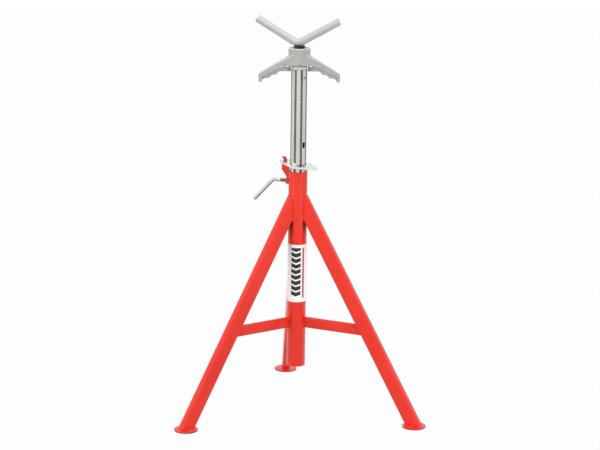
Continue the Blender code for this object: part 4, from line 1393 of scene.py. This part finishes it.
# ---- V head ----
# A round steel bar bent cold to a V, its ends sawn off and broken, its low point welded across the screw's
# top with a bead that is black like the screw.
BAR_RADIUS = 0.009525
HEAD_ARM_LENGTH = 0.122
HEAD_SLOPE = radians(30)
HEAD_BEND_RADIUS = 0.030
HEAD_LINE_BOTTOM = 0.969147
HEAD_OFFSET = 0.0045
HEAD_YAW = radians(-16.2)
HEAD_SIDES = 64
HEAD_EASE = 0.0007
HEAD_BEAD = 0.0013
HEAD_BEAD_RADIUS = SCREW_RADIUS - 0.0008
# painted light on the bar's top, and painted shade under it
STEEL_LIT_TOP = (0.57, 0.57, 0.565)
STEEL_SHADED_UNDER = (0.465, 0.465, 0.46)


def make_head_steel():
    """Satin bar with shallow dents, with painted light on top and painted shade underneath."""
    finish, place = patterned("head_satin_steel")
    cloud = ramp(noise(place, 55.0, 4.0, 0.6), 0.35, 0.65)
    # Painted light on the faces that look up.
    lit_top = ramp(upward(place) + cloud * 0.06, 0.08, 0.42)
    dents = bumped(noise(place, 60.0, 2.0), 0.0005, 0.10)
    colour = layered(STEEL_SHADED_UNDER, (lit_top, STEEL_LIT_TOP))
    return surfaced(finish, colour, 0.50 + cloud * 0.06, dents, Metallic=0.3)


def bent_bar(name, radius, sides, start, way, first, centre, angle, last):
    """A bar in the XZ plane: a ring, extruded along its way, spun round the bend and extruded again. The spin
    operator turns against the angle that it is given."""
    clear_selection()
    heading = Vector((way[0], 0, way[1]))
    bpy.ops.mesh.primitive_circle_add(
        vertices=sides, radius=radius, location=(start[0], 0, start[1]),
        rotation=heading.to_track_quat("Z", "Y").to_euler(),
    )
    piece = named(name)
    extruded((way[0] * first, 0, way[1] * first))
    bpy.ops.mesh.spin(steps=24, angle=-angle, center=(centre[0], 0, centre[1]), axis=(0, 1, 0))
    extruded(Matrix.Rotation(angle, 3, (0, 1, 0)) @ heading * last)
    return closed_up(piece)


corner_height = HEAD_LINE_BOTTOM - HEAD_BEND_RADIUS * (1 / cos(HEAD_SLOPE) - 1)
straight = HEAD_ARM_LENGTH - HEAD_BEND_RADIUS * tan(HEAD_SLOPE)
arm_x, arm_z = polar(HEAD_ARM_LENGTH, HEAD_SLOPE)
head = bent_bar(
    "head", BAR_RADIUS, HEAD_SIDES, (-HEAD_OFFSET - arm_x, corner_height + arm_z),
    (cos(HEAD_SLOPE), -sin(HEAD_SLOPE)), straight,
    (-HEAD_OFFSET, HEAD_LINE_BOTTOM + HEAD_BEND_RADIUS), -2 * HEAD_SLOPE, straight,
)
eased(head, HEAD_EASE, 3, 50)
on_axis(head, HEAD_YAW)
coated(head, make_head_steel())
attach(head, "screw")
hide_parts("v_head")

angles = [tau * step / RING_STEPS for step in range(RING_STEPS)]
head_weld = bead([around(HEAD_BEAD_RADIUS, angle, SCREW_TOP - HEAD_BEAD) for angle in angles], HEAD_BEAD)
head_weld.name = "head_weld"
coated(head_weld, screw_steel, 60)
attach(head_weld, "screw")


# ---- Lock plate ----
# Stamped from 3.5 mm steel and bright plated: a ring whose teeth bite in the post's flutes, a lobe with the
# hook's slot, and a tab to lift it by. It rests on the bracket and leans on the post.
RING_RADIUS = 0.030
HOLE_RADIUS = 0.02225
TOOTH_REACH = 0.02005
TOOTH_WIDTH = 0.0022
TOOTH_FLARE = 0.0014
LOBE_RADIUS = 0.0155
LOBE_DISTANCE = 0.0335
LOBE_SPREAD = radians(58)
SLOT_ROOM = 0.0013
TAB_LENGTH = 0.0535
TAB_TIP_WIDTH = 0.014
TAB_CORNER = 0.004
TAB_AZIMUTH = radians(-7)
TAB_SPREAD = radians(62)
PLATE_EASE = 0.00045
# the lock plate's painted highlight reaches out to this radius from the column's axis
HIGHLIGHT_RADIUS = RING_RADIUS - 0.003


def rounded_corners(points, radii, steps=8):
    """A closed outline with each corner that is given a radius rounded off."""
    outline = []
    for index, (place, size) in enumerate(zip(points, radii)):
        before = Vector(points[index - 1])
        here = Vector(place)
        after = Vector(points[(index + 1) % len(points)])
        if size == 0:
            outline.append(tuple(here))
            continue
        back = (before - here).normalized()
        on = (after - here).normalized()
        half = back.angle(on) / 2
        centre = here + (back + on).normalized() * size / sin(half)
        first = here + back * size / tan(half) - centre
        last = here + on * size / tan(half) - centre
        start = atan2(first.y, first.x)
        swing = (atan2(last.y, last.x) - start + pi) % tau - pi
        outline += arc(centre, size, start, start + swing, steps)
    return outline


tip = Vector(polar(TAB_LENGTH, TAB_AZIMUTH))
half_tip = Vector((-sin(TAB_AZIMUTH), cos(TAB_AZIMUTH))) * TAB_TIP_WIDTH / 2
lobe_edge = pi - LOBE_SPREAD
corners = [
    *arc((0, 0), RING_RADIUS, TAB_AZIMUTH + TAB_SPREAD, lobe_edge, 24),
    *arc((-LOBE_DISTANCE, 0), LOBE_RADIUS, pi / 2, pi * 3 / 2, 40),
    *arc((0, 0), RING_RADIUS, -lobe_edge, TAB_AZIMUTH - TAB_SPREAD, 24),
    tuple(tip - half_tip),
    tuple(tip + half_tip),
]
plate_outline = rounded_corners(corners, [0] * (len(corners) - 2) + [TAB_CORNER, TAB_CORNER])
half_point = TOOTH_WIDTH / 2 / POST_RADIUS
half_root = half_point + TOOTH_FLARE / 2 / POST_RADIUS
tooth = (
    (HOLE_RADIUS, -half_root), (TOOTH_REACH, -half_point),
    (TOOTH_REACH, half_point), (HOLE_RADIUS, half_root),
)
hole_outline = []
for flute in range(FLUTES):
    middle = FLUTE_AZIMUTH - LOCK_AZIMUTH - pi + flute * FLUTE_TURN
    hole_outline += [polar(radius, middle + angle) for radius, angle in tooth]
    hole_outline += arc((0, 0), HOLE_RADIUS, middle + half_root, middle + FLUTE_TURN - half_root, 10)[1:-1]
slot_centre = (NECK_RADIUS + NECK_WIDTH / 2) / cos(PLATE_TILT)
slot_size = (NECK_WIDTH + 2 * SLOT_ROOM, BRACKET_THICKNESS + 2 * SLOT_ROOM, SLOT_ROOM)
slot_outline = [(x - slot_centre, y) for x, y in rounded_box(*slot_size)]
plate = flame_cut("plate", plate_outline, PLATE_THICKNESS)
cut(plate, flame_cut("plate_hole", hole_outline, 3 * PLATE_THICKNESS))
cut(plate, flame_cut("plate_slot", slot_outline, 3 * PLATE_THICKNESS))
eased(plate, PLATE_EASE, 3, 40)
placed(plate, (BRACKET_REACH, 0, 0))
pivot = around(BRACKET_REACH, LOCK_AZIMUTH, plate_height(BRACKET_REACH))
placed(plate, pivot, (PLATE_ROLL, PLATE_TILT, LOCK_AZIMUTH + pi))
coated(plate, make_bright_zinc("lock_plate_zinc", PLATE_BRIGHT, PLATE_SHADE, 0.45, HIGHLIGHT_RADIUS))
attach(plate, "plate")
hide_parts("lock_plate")


# ---- Clamp screw ----
# A round rod bent to a lever handle and zinc plated. It is threaded as far as it runs in the nut, and the
# thread is a piece of its own, dark with oil.
ROD_RADIUS = 0.00465
ROD_ROOT = 0.00405
ROD_TIP = 0.02285
ROD_PITCH = 0.00155
ROD_THREAD_END = 0.0470
THREAD_RUN_IN = 0.0012
ROD_EASE = 0.0009
ARM_REACH = 0.0674
LEVER_LENGTH = 0.0765
LEVER_SLOPE = radians(47.5)
LEVER_BEND_RADIUS = 0.010
LEVER_BRIGHT = (0.66, 0.67, 0.67)
LEVER_SHADE = (0.57, 0.58, 0.59)
# painted shade on the lever's underside
LEVER_UNDERSIDE_SHADE = (0.20, 0.20, 0.20)

bend_start = ARM_REACH - LEVER_BEND_RADIUS * tan(LEVER_SLOPE / 2)
lever_straight = LEVER_LENGTH - LEVER_BEND_RADIUS * tan(LEVER_SLOPE / 2)
lever = bent_bar(
    "lever", ROD_RADIUS, 40, (ROD_THREAD_END, 0), (1, 0), bend_start - ROD_THREAD_END,
    (bend_start, -LEVER_BEND_RADIUS), LEVER_SLOPE, lever_straight,
)
eased(lever, ROD_EASE, 4, 50)
rod_thread = threaded("rod_thread", [
    (ROD_ROOT, 0),
    (ROD_ROOT, ROD_PITCH * 0.12),
    (ROD_RADIUS, ROD_PITCH * 0.5),
    (ROD_RADIUS, ROD_PITCH * 0.62),
    (ROD_ROOT, ROD_PITCH),
], ROD_PITCH, ROD_TIP, ROD_THREAD_END + THREAD_RUN_IN, 32, 2)
placed(rod_thread, (0, 0, 0), (0, pi / 2, 0))
# The lever's zinc has painted shade underneath.
lever_zinc = make_bright_zinc("lever_zinc_plate", LEVER_BRIGHT, LEVER_SHADE, 0.7, under=LEVER_UNDERSIDE_SHADE)
for piece, finish in ((lever, lever_zinc), (rod_thread, dark_zinc)):
    on_axis(piece, LOCK_AZIMUTH, CLAMP_HEIGHT)
    coated(piece, finish, 45)
    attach(piece, "clamp")
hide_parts("clamp_screw")


# ---- Clamp pad ----
# A brass disc with broken edges between the screw's tip and the post, which keeps the tip from scoring the
# plating.
PAD_IN = POST_RADIUS + GAP
PAD_THICKNESS = 0.0017
PAD_CHAMFER = 0.0003
PAD_CHAMFER_IN = 0.0005

pad = turned("pad", [
    (ROD_RADIUS - PAD_CHAMFER_IN, PAD_IN),
    (ROD_RADIUS, PAD_IN + PAD_CHAMFER),
    (ROD_RADIUS, PAD_IN + PAD_THICKNESS - PAD_CHAMFER),
    (ROD_RADIUS - PAD_CHAMFER_IN, PAD_IN + PAD_THICKNESS),
], 48)
pointed(pad, LOCK_AZIMUTH, CLAMP_HEIGHT)
coated(pad, brass)
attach(pad, "pad")
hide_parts("clamp_pad")


bpy.context.view_layer.update()
